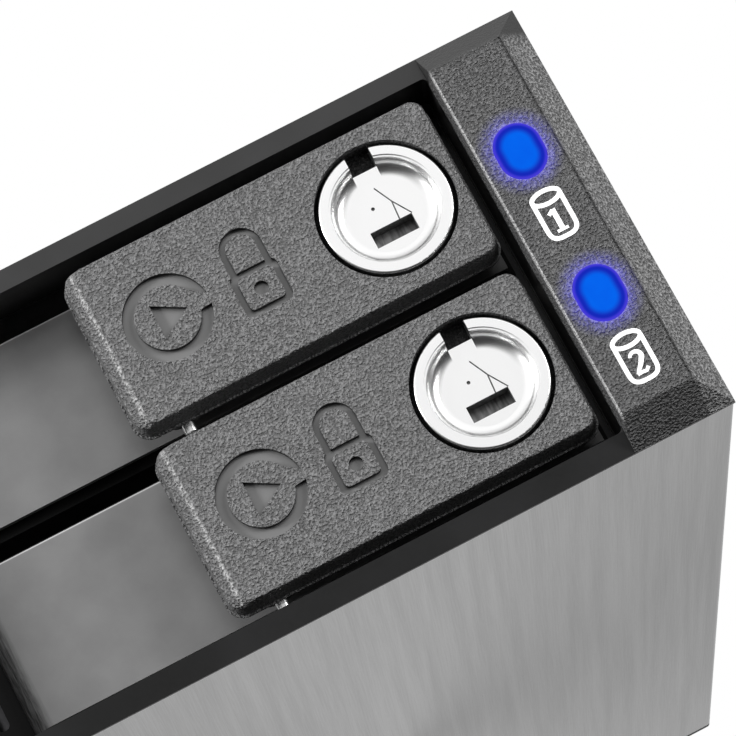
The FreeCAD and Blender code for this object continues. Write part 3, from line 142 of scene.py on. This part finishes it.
class Finish(Nodes):
    """One material: its shader, and the nodes that vary it over the surface."""

    def __init__(self, name, uniform):
        """uniform gives the shader's sockets that have one value all over."""
        self.material = bpy.data.materials.new(name)
        self.material.use_nodes = True
        super().__init__(self.material.node_tree)
        self.shader = self.tree.nodes["Principled BSDF"]
        self.coordinates = None
        for socket, value in uniform.items():
            self.shader.inputs[socket].default_value = value

    def place(self):
        """Position in the row frame, in metres."""
        if self.coordinates is None:
            self.coordinates = self.node("ShaderNodeTexCoord", output="Object")
        return self.coordinates

    def axes(self):
        return self.split(self.place())

    def noise(self, feature, detail=2.0, roughness=0.5, stretch=(1, 1, 1)):
        """Noise from 0 to 1 in features about this long in metres, longer along stretched axes."""
        scale = [1 / factor for factor in stretch]
        spot = self.node("ShaderNodeMapping", inputs={"Vector": self.place(), "Scale": scale})
        return self.node("ShaderNodeTexNoise", inputs={
            "Vector": spot, "Scale": 1 / feature, "Detail": detail, "Roughness": roughness,
        })

    def cells(self, feature):
        """Distance from the middle of the nearest cell, for cells about this wide in metres."""
        inputs = {"Vector": self.place(), "Scale": 1 / feature}
        return self.node("ShaderNodeTexVoronoi", inputs=inputs)

    def relief(self, height, depth):
        """A bump of this depth in metres from a height of 0 to 1."""
        inputs = {"Height": height, "Distance": depth, "Strength": 1.0}
        return self.node("ShaderNodeBump", inputs=inputs)

    def drive(self, **links):
        """Links the shader's sockets that vary over the surface, and gives the material."""
        for socket, wire in links.items():
            self.tree.links.new(wire.socket, self.shader.inputs[socket.replace("_", " ").title()])
        return self.material


def grey(level):
    """A neutral colour."""
    return (level, level, level)


def dress(finish, *nodes):
    """Gives CAD nodes this finish."""
    for name in nodes:
        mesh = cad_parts[name].data
        mesh.materials.clear()
        mesh.materials.append(finish)


def brushed_aluminium():
    finish = Finish("brushed_aluminium", {"Metallic": 1.0, "Anisotropic": 0.3})
    y = finish.axes()[1]
    hairs = finish.noise(0.28 * mm, detail=3.0, roughness=0.6, stretch=(1, 60, 1))
    bands = finish.noise(2.2 * mm, stretch=(1, 40, 1))
    clouds = finish.noise(30 * mm, stretch=(1, 2.5, 1))
    tone = hairs * 0.5 + bands * 0.3 + clouds * 0.2
    brushed = finish.blend(tone.step(0.3, 0.7), grey(0.62), grey(0.86))
    highlight_ragging = finish.noise(1.1 * mm, detail=3.0, roughness=0.6)
    edge_highlight_end = sleeve_front + edge_highlight_depth
    # painted highlight: a ragged bright band just behind the sleeve's front cut
    front_edge_highlight = (y + highlight_ragging * edge_highlight_raggedness).step(edge_highlight_end, edge_highlight_end - edge_highlight_softness)
    return finish.drive(
        base_color=finish.blend(front_edge_highlight * 0.8, brushed, grey(0.98)),
        roughness=0.3 + hairs * 0.14 + clouds * 0.06, normal=finish.relief(hairs, 0.006 * mm),
    )


dress(brushed_aluminium(), "outer_shell")


# Sheet steel frame: base pan, cage wall, top plate, bay divider and standoffs, bent from
# zinc-plated sheet. The pan and plate carry the bay and take the rear panel's screws.
spangle_width = 6 * mm
spangle_contrast = 120


def zinc_sheet():
    finish = Finish("zinc_sheet", {"Metallic": 1.0})
    spangle = finish.cells(spangle_width)
    scratches = finish.noise(0.4 * mm, stretch=(1, 25, 1))
    tone = spangle * spangle_contrast + scratches * 0.5
    return finish.drive(
        base_color=finish.blend(tone, (0.42, 0.43, 0.45), (0.66, 0.67, 0.68)),
        roughness=0.32 + scratches * 0.2, normal=finish.relief(scratches, 0.01 * mm),
    )


dress(zinc_sheet(), "base_pan", "cage_wall", "top_plate", "bay_divider", "board_standoffs")


# Side guides, drive sockets and the reset switch's body: plain black mouldings with a fine matt
# skin. The guides clip to the cage walls and carry the trays' runners.
def moulded_black(name, tone, rough, grain=0.25 * mm, depth=0.012 * mm, gloss=0.5):
    """Black plastic with a fine even grain; tone is its grey level."""
    finish = Finish(name, {"Metallic": 0.0, "Specular IOR Level": gloss})
    skin = finish.noise(grain)
    wear = finish.noise(14 * mm, detail=3.0)
    wear_and_highlight = (tone * 1.25, tone * 1.25, tone * 1.28)
    return finish.drive(
        base_color=finish.blend(wear.step(0.3, 0.8), grey(tone * 0.8), wear_and_highlight),
        roughness=rough + skin * 0.1, normal=finish.relief(skin, depth),
    )


dress(
    moulded_black("guide_plastic", tone=0.03, rough=0.5),
    "guide_left", "guide_right", "drive_sockets", "reset_switch",
)


# Circuit boards: glass-fibre laminate with green solder mask, etched copper tracks showing through
# it. They stand on metal standoffs or hang on their connectors.
tracks_per_metre = 420.0
track_width = 0.09


def circuit_board():
    finish = Finish("circuit_board", {"Metallic": 0.0, "Coat Weight": 0.3})
    x, y, z = finish.axes()
    flat = finish.node("ShaderNodeCombineXYZ", inputs={"X": x + y, "Y": z + y * 0.35})
    lanes = finish.node("ShaderNodeTexBrick", {"offset": 0.5}, {
        "Vector": flat, "Scale": tracks_per_metre, "Mortar Size": track_width,
        "Color1": (0, 0, 0, 1), "Color2": (0, 0, 0, 1), "Mortar": (1, 1, 1, 1),
    })
    weave = finish.noise(0.6 * mm)
    mask = finish.blend(weave.step(0.3, 0.7), (0.006, 0.075, 0.03), (0.012, 0.11, 0.045))
    return finish.drive(
        base_color=finish.blend(lanes, mask, (0.03, 0.2, 0.08)), roughness=0.3 + weave * 0.15,
        normal=finish.relief(lanes, 0.02 * mm),
    )


def chip_epoxy():
    finish = Finish("chip_epoxy", {"Metallic": 0.0})
    skin = finish.noise(0.2 * mm)
    return finish.drive(
        base_color=finish.blend(skin, (0.015, 0.015, 0.016), (0.04, 0.04, 0.042)),
        roughness=0.45 + skin * 0.2, normal=finish.relief(skin, 0.01 * mm),
    )


dress(circuit_board(), "backplane", "main_board", "led_board", "drive_board_1", "drive_board_2")
dress(chip_epoxy(), "board_chips", "led_chips")


# Drives: cast aluminium bodies with a pressed stainless lid, held in the trays by four side
# screws. The heat sink on the main board is the same grey metal.
def cast_metal():
    finish = Finish("cast_drive_body", {"Metallic": 1.0})
    grit = finish.noise(0.5 * mm, detail=4.0, roughness=0.6)
    clouds = finish.noise(20 * mm)
    tone = grit * 0.6 + clouds * 0.4
    return finish.drive(
        base_color=finish.blend(tone, (0.07, 0.07, 0.075), (0.16, 0.16, 0.165)),
        roughness=0.4 + grit * 0.25, normal=finish.relief(grit, 0.03 * mm),
    )


def pressed_steel(name, dark, light, rough):
    """Bright rolled steel, its grey between dark and light."""
    finish = Finish(name, {"Metallic": 1.0})
    hairs = finish.noise(0.3 * mm, detail=3.0, stretch=(30, 1, 1))
    clouds = finish.noise(18 * mm)
    return finish.drive(
        base_color=finish.blend(hairs * 0.6 + clouds * 0.4, grey(dark), grey(light)),
        roughness=rough + hairs * 0.15, normal=finish.relief(hairs, 0.008 * mm),
    )


dress(cast_metal(), "drive_case_1", "drive_case_2", "heat_sink")
dress(
    pressed_steel("drive_lid_steel", dark=0.5, light=0.78, rough=0.22),
    "drive_lid_1", "drive_lid_2",
)


# Tray carriers: black moulded trays with a vented front wall and a runner along each side. Each
# slides in the side guides and carries its drive, its front plate and the lever's two hinge lugs.
dress(
    moulded_black("tray_plastic", tone=0.006, rough=0.6, gloss=0.12),
    "tray_carrier_1", "tray_carrier_2",
)


# Tray faces: 1.2 mm plates with a satin dark grey coat, folded back at the left end. The folded
# end is painted near black with fine upright streaks, as painted shade, and a thin bright line
# along the plates' upper edges is a painted highlight. They are fixed to the trays under the
# levers.
plate_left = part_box("tray_face_1")[0].x
plate_tops = [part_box(node)[1].z for node in ("tray_face_1", "tray_face_2")]
fold_end = plate_left + 3.6 * mm
fold_start = plate_left + 1.6 * mm


def satin_plate():
    finish = Finish("satin_grey_plate", {"Metallic": 0.0})
    x, _, z = finish.axes()
    fold = x.step(fold_end, fold_start)
    streaks = finish.noise(0.35 * mm, detail=3.0, roughness=0.7, stretch=(1, 1, 10))
    dust = finish.noise(9 * mm, detail=4.0, roughness=0.6)
    speck = finish.noise(0.7 * mm)
    plain = finish.blend(dust.step(0.25, 0.75), grey(0.112), grey(0.138))
    # painted shade: the folded left end, near black with fine upright streaks
    fold_shade = finish.blend(streaks.step(0.3, 0.75), grey(0.006), grey(0.08))
    coat_and_fold_shade = finish.blend(fold, plain, fold_shade)
    off_top = (z - plate_tops[0]).size().least((z - plate_tops[1]).size())
    # painted highlight: a thin bright line along each plate's upper edge
    top_edge_highlight = off_top.step(0.28 * mm, 0.1 * mm)
    return finish.drive(
        base_color=finish.blend(top_edge_highlight * 0.6, coat_and_fold_shade, grey(0.6)), roughness=0.5 + dust * 0.12,
        normal=finish.relief(streaks * fold + speck * 0.08, 0.06 * mm),
    )


dress(satin_plate(), "tray_face_1", "tray_face_2")


# Pins, springs, lock tongues, keepers: bright drawn and stamped steel. The pins run through the
# levers' knuckles and the trays' lugs; the springs lie round the pins. The screws are duller.
dress(
    pressed_steel("steel_pin", dark=0.6, light=0.86, rough=0.14),
    "hinge_pin_1", "hinge_pin_2", "lever_spring_1", "lever_spring_2", "lock_cam_1", "lock_cam_2",
    "lock_keeper_1", "lock_keeper_2",
)
dress(
    pressed_steel("screw_steel", dark=0.4, light=0.62, rough=0.25),
    "board_screws", "panel_screws", "fan_screws", "lock_screw_1", "lock_screw_2",
    "drive_screws_1", "drive_screws_2",
)


# Latch levers: thick black mouldings with a coarse pebbled grain, hinged on the steel pins. The
# play and padlock signs are sunk into the face with smooth floors; their walls are painted
# near black as painted shade. A bright line along the rounded left end is a painted highlight,
# and the bearing round the lock is painted dark deeper in, as painted shade.
lever_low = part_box("lever_1")[0]
lever_middles = [
    (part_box(node)[0].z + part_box(node)[1].z) / 2 for node in ("lever_1", "lever_2")
]
lock_middle = (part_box("lock_cup_1")[0].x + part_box("lock_cup_1")[1].x) / 2
crisp = 0.1 * mm
signs_left = lever_low.x + 3.4 * mm
signs_right = lever_low.x + 36 * mm
signs_half_height = 12.4 * mm
sign_floor = lever_low.y + 1.0 * mm
sign_floor_band = 0.08 * mm
ridge_highlight_x = lever_low.x + 2.3 * mm
bearing_radius = 12.0 * mm


def pebbled_black(name, dark, light):
    """Black plastic with a coarse spark-eroded grain: dark is its grey in pits, light on crests."""
    finish = Finish(name, {"Metallic": 0.0})
    height = finish.noise(0.42 * mm, detail=1.0).step(0.25, 0.75)
    speck = finish.noise(0.36 * mm, detail=1.0)
    tone = finish.noise(7 * mm)
    shade = height * 0.45 + speck.step(0.25, 0.75) * 0.4 + tone * 0.15
    colour = finish.blend(shade.step(0.1, 0.9), grey(dark), (light, light, light * 1.01))
    return finish, height, colour


def lever_grain():
    finish, height, colour = pebbled_black("pebbled_lever", 0.055, 0.165)
    x, y, z = finish.axes()
    off_middle = (z - lever_middles[0]).size().least((z - lever_middles[1]).size())
    across = x.step(signs_left, signs_left + crisp) * x.step(signs_right, signs_right - crisp)
    signs = across * off_middle.step(signs_half_height, signs_half_height - crisp)
    floor = (y - sign_floor).size().step(sign_floor_band, sign_floor_band / 2) * signs
    # painted shade: the walls of the sunk signs are painted near black
    walls = y.step(lever_low.y + crisp, lever_low.y + 2 * crisp) * signs
    signs_with_wall_shade = finish.blend(floor, finish.blend(walls, colour, grey(0.006)), grey(0.13))
    bend = y.step(lever_low.y + 1.4 * mm, lever_low.y + 0.5 * mm)
    # painted highlight: a bright line along the rounded left end, on the grain's crests
    ridge_highlight = (x - ridge_highlight_x).size().step(0.6 * mm, 0.1 * mm) * bend
    wear_and_highlight = finish.blend(ridge_highlight * height * 0.42, signs_with_wall_shade, grey(0.75))
    aside = x - lock_middle
    off_lock = (aside * aside + off_middle * off_middle).root()
    sunk = y.step(lever_low.y + 0.8 * mm, lever_low.y + 1.8 * mm)
    # painted shade: the bearing round the lock is painted near black deeper in
    bearing_shade = sunk * off_lock.step(bearing_radius, bearing_radius - 2 * crisp)
    return finish.drive(
        base_color=finish.blend(bearing_shade, wear_and_highlight, grey(0.012)), roughness=0.5 + floor * 0.05,
        normal=finish.relief(height * (1 - walls), 0.34 * mm),
    )


dress(lever_grain(), "lever_1", "lever_2")


# Locks: nickel-chrome plated barrels turned from brass, with a notched rim and a shallow cup. Each
# turns in its lever's bearing. The key slot, notch and other cuts below the cup's floor are
# painted dark grey and not metallic, as painted shade.
cup_floor = lever_low.y + 2.7 * mm


def chrome():
    finish = Finish("chrome_lock", {})
    y = finish.axes()[1]
    haze = finish.noise(2.5 * mm, detail=3.0)
    fine = finish.noise(0.25 * mm)
    bands = finish.noise(0.5 * mm, stretch=(1, 1, 6))
    plated = finish.blend(haze, grey(0.97), grey(1.0))
    # painted shade: dark grey, streaked, in the cuts below the cup's floor
    cut_shade = finish.blend(bands.step(0.3, 0.7), grey(0.06), grey(0.17))
    deep = y.step(cup_floor + 0.03 * mm, cup_floor + 0.12 * mm)
    return finish.drive(
        base_color=finish.blend(deep, plated, cut_shade), metallic=1 - deep,
        roughness=0.2 + haze * 0.1 + deep * 0.3, normal=finish.relief(fine, 0.002 * mm),
    )


dress(chrome(), "lock_cup_1", "lock_cup_2")


# Front frame: one black moulding with a smooth satin border that slopes forwards to the bay, and a
# skirt that plugs into the sleeve.
dress(
    moulded_black("smooth_frame", tone=0.014, rough=0.3, grain=0.6 * mm, depth=0.004 * mm),
    "front_bezel",
)


# Indicator strip: a grained cap staked over the frame's right side, with two lamp windows. Its
# upper end is smooth. A thin bright line along the left edge of the face is a painted highlight,
# and the grain's crests on the right bevel are painted lighter as painted light. The lit lamps
# throw a violet halo on the grain round them.
strip_low, strip_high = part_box("indicator_strip")
lamp_boxes = [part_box("led_lens_1"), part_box("led_lens_2")]
window_width = 7.6 * mm
window_height = 9.4 * mm
halo_reach = 3.4 * mm
halo_core = 0.5 * mm
crown_start = strip_high.z - 6.2 * mm
crown_end = strip_high.z - 4.0 * mm
corner_line = strip_high.x - 17.1 * mm
flank_start = strip_high.x - 4.6 * mm
flank_end = strip_high.x - 4.2 * mm


def lamp_distance(x, z):
    """Distance from the nearer lamp's oval edge, in metres, negative inside it."""
    nearest = None
    for low, high in lamp_boxes:
        aside = x - (low.x + high.x) / 2
        above = z - (low.z + high.z) / 2
        along = (above.size() - (window_height - window_width) / 2).most(0.0)
        gap = (aside * aside + along * along).root() - window_width / 2
        nearest = gap if nearest is None else nearest.least(gap)
    return nearest


def strip_grain():
    finish, height, colour = pebbled_black("pebbled_strip", 0.035, 0.115)
    finish.shader.inputs["Emission Strength"].default_value = 1.0
    x, y, z = finish.axes()
    edge = lamp_distance(x, z)
    face = y.step(strip_low.y + 1.2 * mm, strip_low.y + 0.6 * mm)
    wide = edge.step(halo_reach, 0.0) ** 1.6
    close = edge.step(halo_core, 0.0)
    glow = (wide * 0.42 * (0.35 + height * 0.9) + close * 0.2) * face
    light = finish.blend(close, (0.10, 0.09, 0.85), (0.22, 0.19, 1.0))
    crown = z.step(crown_start, crown_end)
    # painted highlight: a thin bright line along the face's left edge
    plateau_edge_highlight = (x - corner_line).size().step(0.28 * mm, 0.1 * mm) * face
    # painted light: the grain's crests on the right bevel are painted lighter
    lit_flank = x.step(flank_start, flank_end)
    wear_and_highlight = lit_flank * height * 0.3 + plateau_edge_highlight * (1 - crown) * 0.4
    grain_and_highlights = finish.blend(wear_and_highlight, colour, grey(0.8))
    return finish.drive(
        base_color=finish.blend(crown, grain_and_highlights, grey(0.02)), roughness=0.5 - crown * 0.12,
        emission_color=finish.blend(glow, grey(0), light),
        normal=finish.relief(height * (1 - crown * 0.9), 0.4 * mm),
    )


dress(strip_grain(), "indicator_strip")


# Lamp windows: tinted acrylic light pipes, bright blue at the core with a deeper blue rim. Each
# fills its oval window in the strip, over its diode on the lamp board.
def blue_lens():
    finish = Finish("blue_lens", {
        "Metallic": 0.0, "Roughness": 0.5, "Specular IOR Level": 0.0, "Emission Strength": 1.0,
    })
    x, _, z = finish.axes()
    edge = lamp_distance(x, z)
    rim = edge.step(-1.9 * mm, -0.7 * mm)
    brink = edge.step(-0.6 * mm, -0.05 * mm)
    haze = finish.noise(3 * mm)
    core = finish.blend(haze, (0.002, 0.09, 0.76), (0.002, 0.13, 0.86))
    ring = finish.blend(brink, (0.008, 0.022, 0.46), (0.06, 0.045, 0.66))
    return finish.drive(
        base_color=finish.blend(rim, (0.0, 0.01, 0.03), (0.0, 0.0, 0.02)),
        emission_color=finish.blend(rim, core, ring),
    )


dress(blue_lens(), "led_lens_1", "led_lens_2")


# Disk signs: white ink printed on the strip under each lamp, an upright can with the tray's
# number. The ink lies a little proud of the face; strokes that cross lie one over the other.
ink_line = 0.74 * mm
ink_proud = 0.05 * mm
ink_sunk = 0.03 * mm
ink_layer = 0.006 * mm
can_half_width = 2.35 * mm
can_lid_half_height = 1.1 * mm
can_height = 8.9 * mm
can_base_drop = 2.3 * mm
can_base_power = 3.2
lid_stations = 49
base_stations = 33
sign_left_of_lamp = 0.1 * mm
sign_below_lamp = 11.6 * mm
figure_below_can_middle = 1.1 * mm


def ribbon(middle, width, face, proud):
    """A raised line of ink along the points middle (x, z): each station holds four corners, half
    the width to either side of the middle line, in front of and behind the plane y = face. Ends
    are closed."""
    ahead = np.gradient(middle, axis=0)
    ahead /= np.linalg.norm(ahead, axis=1)[:, None]
    half_widths = (np.broadcast_to(width, len(middle)) / 2)[:, None]
    side = np.stack([-ahead[:, 1], ahead[:, 0]], axis=1) * half_widths
    corners = np.zeros((len(middle), 4, 3))
    ring = ((1, -proud), (-1, -proud), (-1, ink_sunk), (1, ink_sunk))
    for index, (sign, plane) in enumerate(ring):
        corners[:, index, 0::2] = middle + sign * side
        corners[:, index, 1] = face + plane
    stations = np.arange(len(middle) - 1)[:, None] * 4
    turn = np.arange(4)[None, :]
    after = (turn + 1) % 4
    walls = np.stack([
        stations + turn, stations + after, stations + 4 + after, stations + 4 + turn,
    ], axis=-1)
    last = len(middle) * 4 - 4
    ends = np.array([[3, 2, 1, 0], [last, last + 1, last + 2, last + 3]])
    return corners.reshape(-1, 3), np.concatenate([walls.reshape(-1, 4), ends])


def can_outline(x, z):
    """Middle lines of the can: its oval lid, and its sides joined by a round-cornered base, which
    is half of the curve |x|^3.2 + |z|^3.2 = 1."""
    turn = np.linspace(0, 2 * np.pi, lid_stations)
    lid_z = z + can_height / 2 - ink_line / 2 - can_lid_half_height
    lid = np.stack([
        x + can_half_width * np.cos(turn), lid_z + can_lid_half_height * np.sin(turn),
    ], axis=1)
    sweep = np.linspace(np.pi, 2 * np.pi, base_stations)
    power = 2 / can_base_power
    base_z = z - can_height / 2 + ink_line / 2 + can_base_drop
    base = np.stack([
        x + can_half_width * np.sign(np.cos(sweep)) * np.abs(np.cos(sweep)) ** power,
        base_z - can_base_drop * np.abs(np.sin(sweep)) ** power,
    ], axis=1)
    body = np.concatenate([[[x - can_half_width, lid_z]], base, [[x + can_half_width, lid_z]]])
    return [(lid, ink_line), (body, ink_line)]


def figure_one(x, z):
    """A one: an upright bar with a short flag and a foot, in millimetres from its middle."""
    bar = np.array([[0, 1.9], [0, -1.9]])
    flag = np.array([[-0.95, 1.15], [-0.1, 1.75]])
    foot = np.array([[-0.95, -1.8], [0.95, -1.8]])
    place = np.array([x, z])
    return [
        (place + bar * mm, 0.85 * mm),
        (place + flag * mm, 0.6 * mm),
        (place + foot * mm, 0.5 * mm),
    ]


def figure_two(x, z):
    """A two, in millimetres from its middle: most of an oval, a straight run down to the left, and
    a foot that turns up at its end. The stroke swells over the oval and thins along the run."""
    turn = np.radians(np.linspace(165, -35, 25))
    bow = np.stack([0.9 * np.cos(turn), 1.0 + 0.85 * np.sin(turn)], axis=1)
    spine = np.concatenate([bow, [[0.1, -0.45], [-0.55, -1.15], [-0.95, -1.7]]])
    width = np.concatenate([np.linspace(0.5, 0.85, len(bow)), [0.74, 0.62, 0.55]])
    foot = np.array([[-1.05, -1.68], [-0.3, -1.62], [0.5, -1.72], [1.05, -1.2]])
    place = np.array([x, z])
    return [(place + spine * mm, width * mm), (place + foot * mm, 0.6 * mm)]


def white_ink():
    finish = Finish("white_ink", {"Metallic": 0.0})
    speck = finish.noise(0.3 * mm)
    return finish.drive(
        base_color=finish.blend(speck, grey(0.86), grey(0.95)), roughness=0.45 + speck * 0.15,
        normal=finish.relief(speck, 0.02 * mm),
    )


def print_sign(number, figure, ink):
    low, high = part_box("led_lens_%d" % number)
    x = (low.x + high.x) / 2 - sign_left_of_lamp
    z = (low.z + high.z) / 2 - sign_below_lamp
    strokes = can_outline(x, z) + figure(x, z - figure_below_can_middle)
    points = []
    faces = []
    for layer, (middle, width) in enumerate(strokes):
        corners, quads = ribbon(middle, width, strip_low.y, ink_proud + layer * ink_layer)
        faces.append(quads + sum(len(block) for block in points))
        points.append(corners)
    mesh = bpy.data.meshes.new("disk_sign_%d" % number)
    mesh.from_pydata(np.concatenate(points).tolist(), [], np.concatenate(faces).tolist())
    mesh.materials.append(ink)
    sign = bpy.data.objects.new("disk_sign_%d" % number, mesh)
    bpy.context.scene.collection.objects.link(sign)
    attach(sign, "housing")


sign_ink = white_ink()
print_sign(1, figure_one, sign_ink)
print_sign(2, figure_two, sign_ink)


# Rear: a powder-coated steel panel screwed to the frame, with black moulded controls and plated
# sockets with gilt contacts. The fan is screwed to it behind a guard of wire dipped in plastic.
def gold_contact():
    finish = Finish("contact_gold", {"Metallic": 1.0})
    wear = finish.noise(0.3 * mm)
    return finish.drive(
        base_color=finish.blend(wear, (0.7, 0.45, 0.14), (0.9, 0.66, 0.28)),
        roughness=0.2 + wear * 0.1,
    )


dress(
    moulded_black("painted_rear_panel", tone=0.03, rough=0.42, grain=0.35 * mm, depth=0.02 * mm),
    "rear_panel",
)
dress(
    moulded_black("control_plastic", tone=0.025, rough=0.38),
    "power_jack", "switch_housing", "power_rocker", "reset_button", "fan_frame", "fan_rotor",
)
dress(
    moulded_black("dipped_wire", tone=0.02, rough=0.25, grain=2 * mm, depth=0.01 * mm),
    "fan_guard",
)
dress(
    pressed_steel("socket_shell", dark=0.5, light=0.75, rough=0.25),
    "network_jack", "usb_sockets",
)
dress(gold_contact(), "jack_contacts")


# Studio: a pale matt floor that is clear from below and casts no light on the box, a surround that
# is white to the eye, three soft lamps in front, and the camera, low down and tilted to one side.
floor_reach = 3.0
floor_height = -0.3 * mm
front_y = lever_low.y
front_middle = (0.02, front_y, 0.04)
front_levels = (
    (0.0, 0.02), (0.38, 0.05), (0.5, 0.3), (0.6, 0.9), (0.66, 1.0), (0.85, 1.0), (1.0, 0.6),
)
rear_levels = (
    (0.0, 0.05), (0.2, 0.25), (0.36, 0.62), (0.5, 0.62), (0.8, 0.5), (1.0, 0.6),
)
view_azimuth = math.radians(4.66)
view_climb = math.radians(16.38)
view_roll = math.radians(-28.51)
view_distance = 0.6458
view_target = np.array([19.46 * mm, front_y, 31.05 * mm])
view_lens = 204.5
view_sensor = 36.0


def pale_floor():
    """One square face at floor_height; its finish shows above and is clear below."""
    square = [(-1, -1), (1, -1), (1, 1), (-1, 1)]
    corners = [(floor_reach * x, floor_reach * y, floor_height) for x, y in square]
    mesh = bpy.data.meshes.new("floor")
    mesh.from_pydata(corners, [], [(0, 1, 2, 3)])
    floor = bpy.data.objects.new("floor", mesh)
    bpy.context.scene.collection.objects.link(floor)
    finish = Finish("floor", {"Roughness": 0.6})
    finish.drive(base_color=finish.blend(finish.noise(0.4), grey(0.80), grey(0.84)))
    below = finish.node("ShaderNodeNewGeometry", output="Backfacing")
    clear = finish.node("ShaderNodeBsdfTransparent")
    solid = Wire(finish, finish.shader.outputs[0])
    mixed = finish.node("ShaderNodeMixShader", inputs={0: below, 1: solid, 2: clear})
    surface = finish.tree.nodes["Material Output"].inputs["Surface"]
    finish.tree.links.new(mixed.socket, surface)
    mesh.materials.append(finish.material)
    floor.visible_shadow = False
    floor.visible_diffuse = False
    floor.visible_glossy = False
    return floor


def surround():
    """White to the eye. As a light it is bright above and dim below in front, middling behind."""
    world = bpy.data.worlds.new("surround")
    bpy.context.scene.world = world
    world.use_nodes = True
    world.node_tree.nodes.clear()
    nodes = Nodes(world.node_tree)
    _, y, z = nodes.split(nodes.node("ShaderNodeTexCoord", output="Generated"))
    rise = nodes.node("ShaderNodeMapRange", inputs={"Value": z, "From Min": -1.0})
    front = nodes.node("ShaderNodeValToRGB", {"stops": front_levels}, {0: rise})
    rear = nodes.node("ShaderNodeValToRGB", {"stops": rear_levels}, {0: rise})
    both = nodes.blend(y.step(-0.1, 0.4), front, rear)
    lit = nodes.node("ShaderNodeBackground", inputs={"Color": both})
    seen = nodes.node("ShaderNodeBackground", inputs={"Color": (1, 1, 1, 1)})
    eye_ray = nodes.node("ShaderNodeLightPath", output="Is Camera Ray")
    mixed = nodes.node("ShaderNodeMixShader", inputs={0: eye_ray, 1: lit, 2: seen})
    nodes.node("ShaderNodeOutputWorld", inputs={"Surface": mixed})


def soft_lamp(name, place, width, height, watts):
    """A rectangular lamp that faces the middle of the front."""
    data = bpy.data.lights.new(name, "AREA")
    data.shape = "RECTANGLE"
    data.size = width
    data.size_y = height
    data.energy = watts
    lamp = bpy.data.objects.new(name, data)
    bpy.context.scene.collection.objects.link(lamp)
    lamp.location = place
    lamp.rotation_mode = "QUATERNION"
    lamp.rotation_quaternion = (Vector(front_middle) - Vector(place)).to_track_quat("-Z", "Y")
    return lamp


def camera():
    """Looks at view_target along the view's azimuth and climb, turned by view_roll."""
    forward = np.array([
        math.sin(view_azimuth) * math.cos(view_climb),
        math.cos(view_azimuth) * math.cos(view_climb),
        math.sin(view_climb),
    ])
    level = np.cross(forward, (0, 0, 1))
    level /= np.linalg.norm(level)
    upright = np.cross(level, forward)
    right = level * math.cos(view_roll) + upright * math.sin(view_roll)
    up = upright * math.cos(view_roll) - level * math.sin(view_roll)
    data = bpy.data.cameras.new("camera")
    data.lens = view_lens
    data.sensor_width = view_sensor
    data.clip_start = 0.01
    data.clip_end = 20.0
    eye = bpy.data.objects.new("camera", data)
    bpy.context.scene.collection.objects.link(eye)
    turn = Matrix((right, up, -forward)).transposed()
    place = Matrix.Translation(view_target - forward * view_distance)
    eye.matrix_world = place @ turn.to_4x4()
    bpy.context.scene.camera = eye


pale_floor()
surround()
soft_lamp("key_lamp", (-0.75, front_y - 0.45, 0.45), width=0.22, height=0.22, watts=9.0)
soft_lamp("right_lamp", (0.9, front_y - 0.75, 0.10), width=0.4, height=0.4, watts=6.0)
front_lamp = soft_lamp("front_lamp", (0.1, front_y - 1.2, 0.45), width=0.6, height=0.4, watts=8.0)
front_lamp.visible_glossy = False
camera()
bpy.context.scene.view_settings.view_transform = "Standard"
bpy.context.scene.view_settings.look = "None"
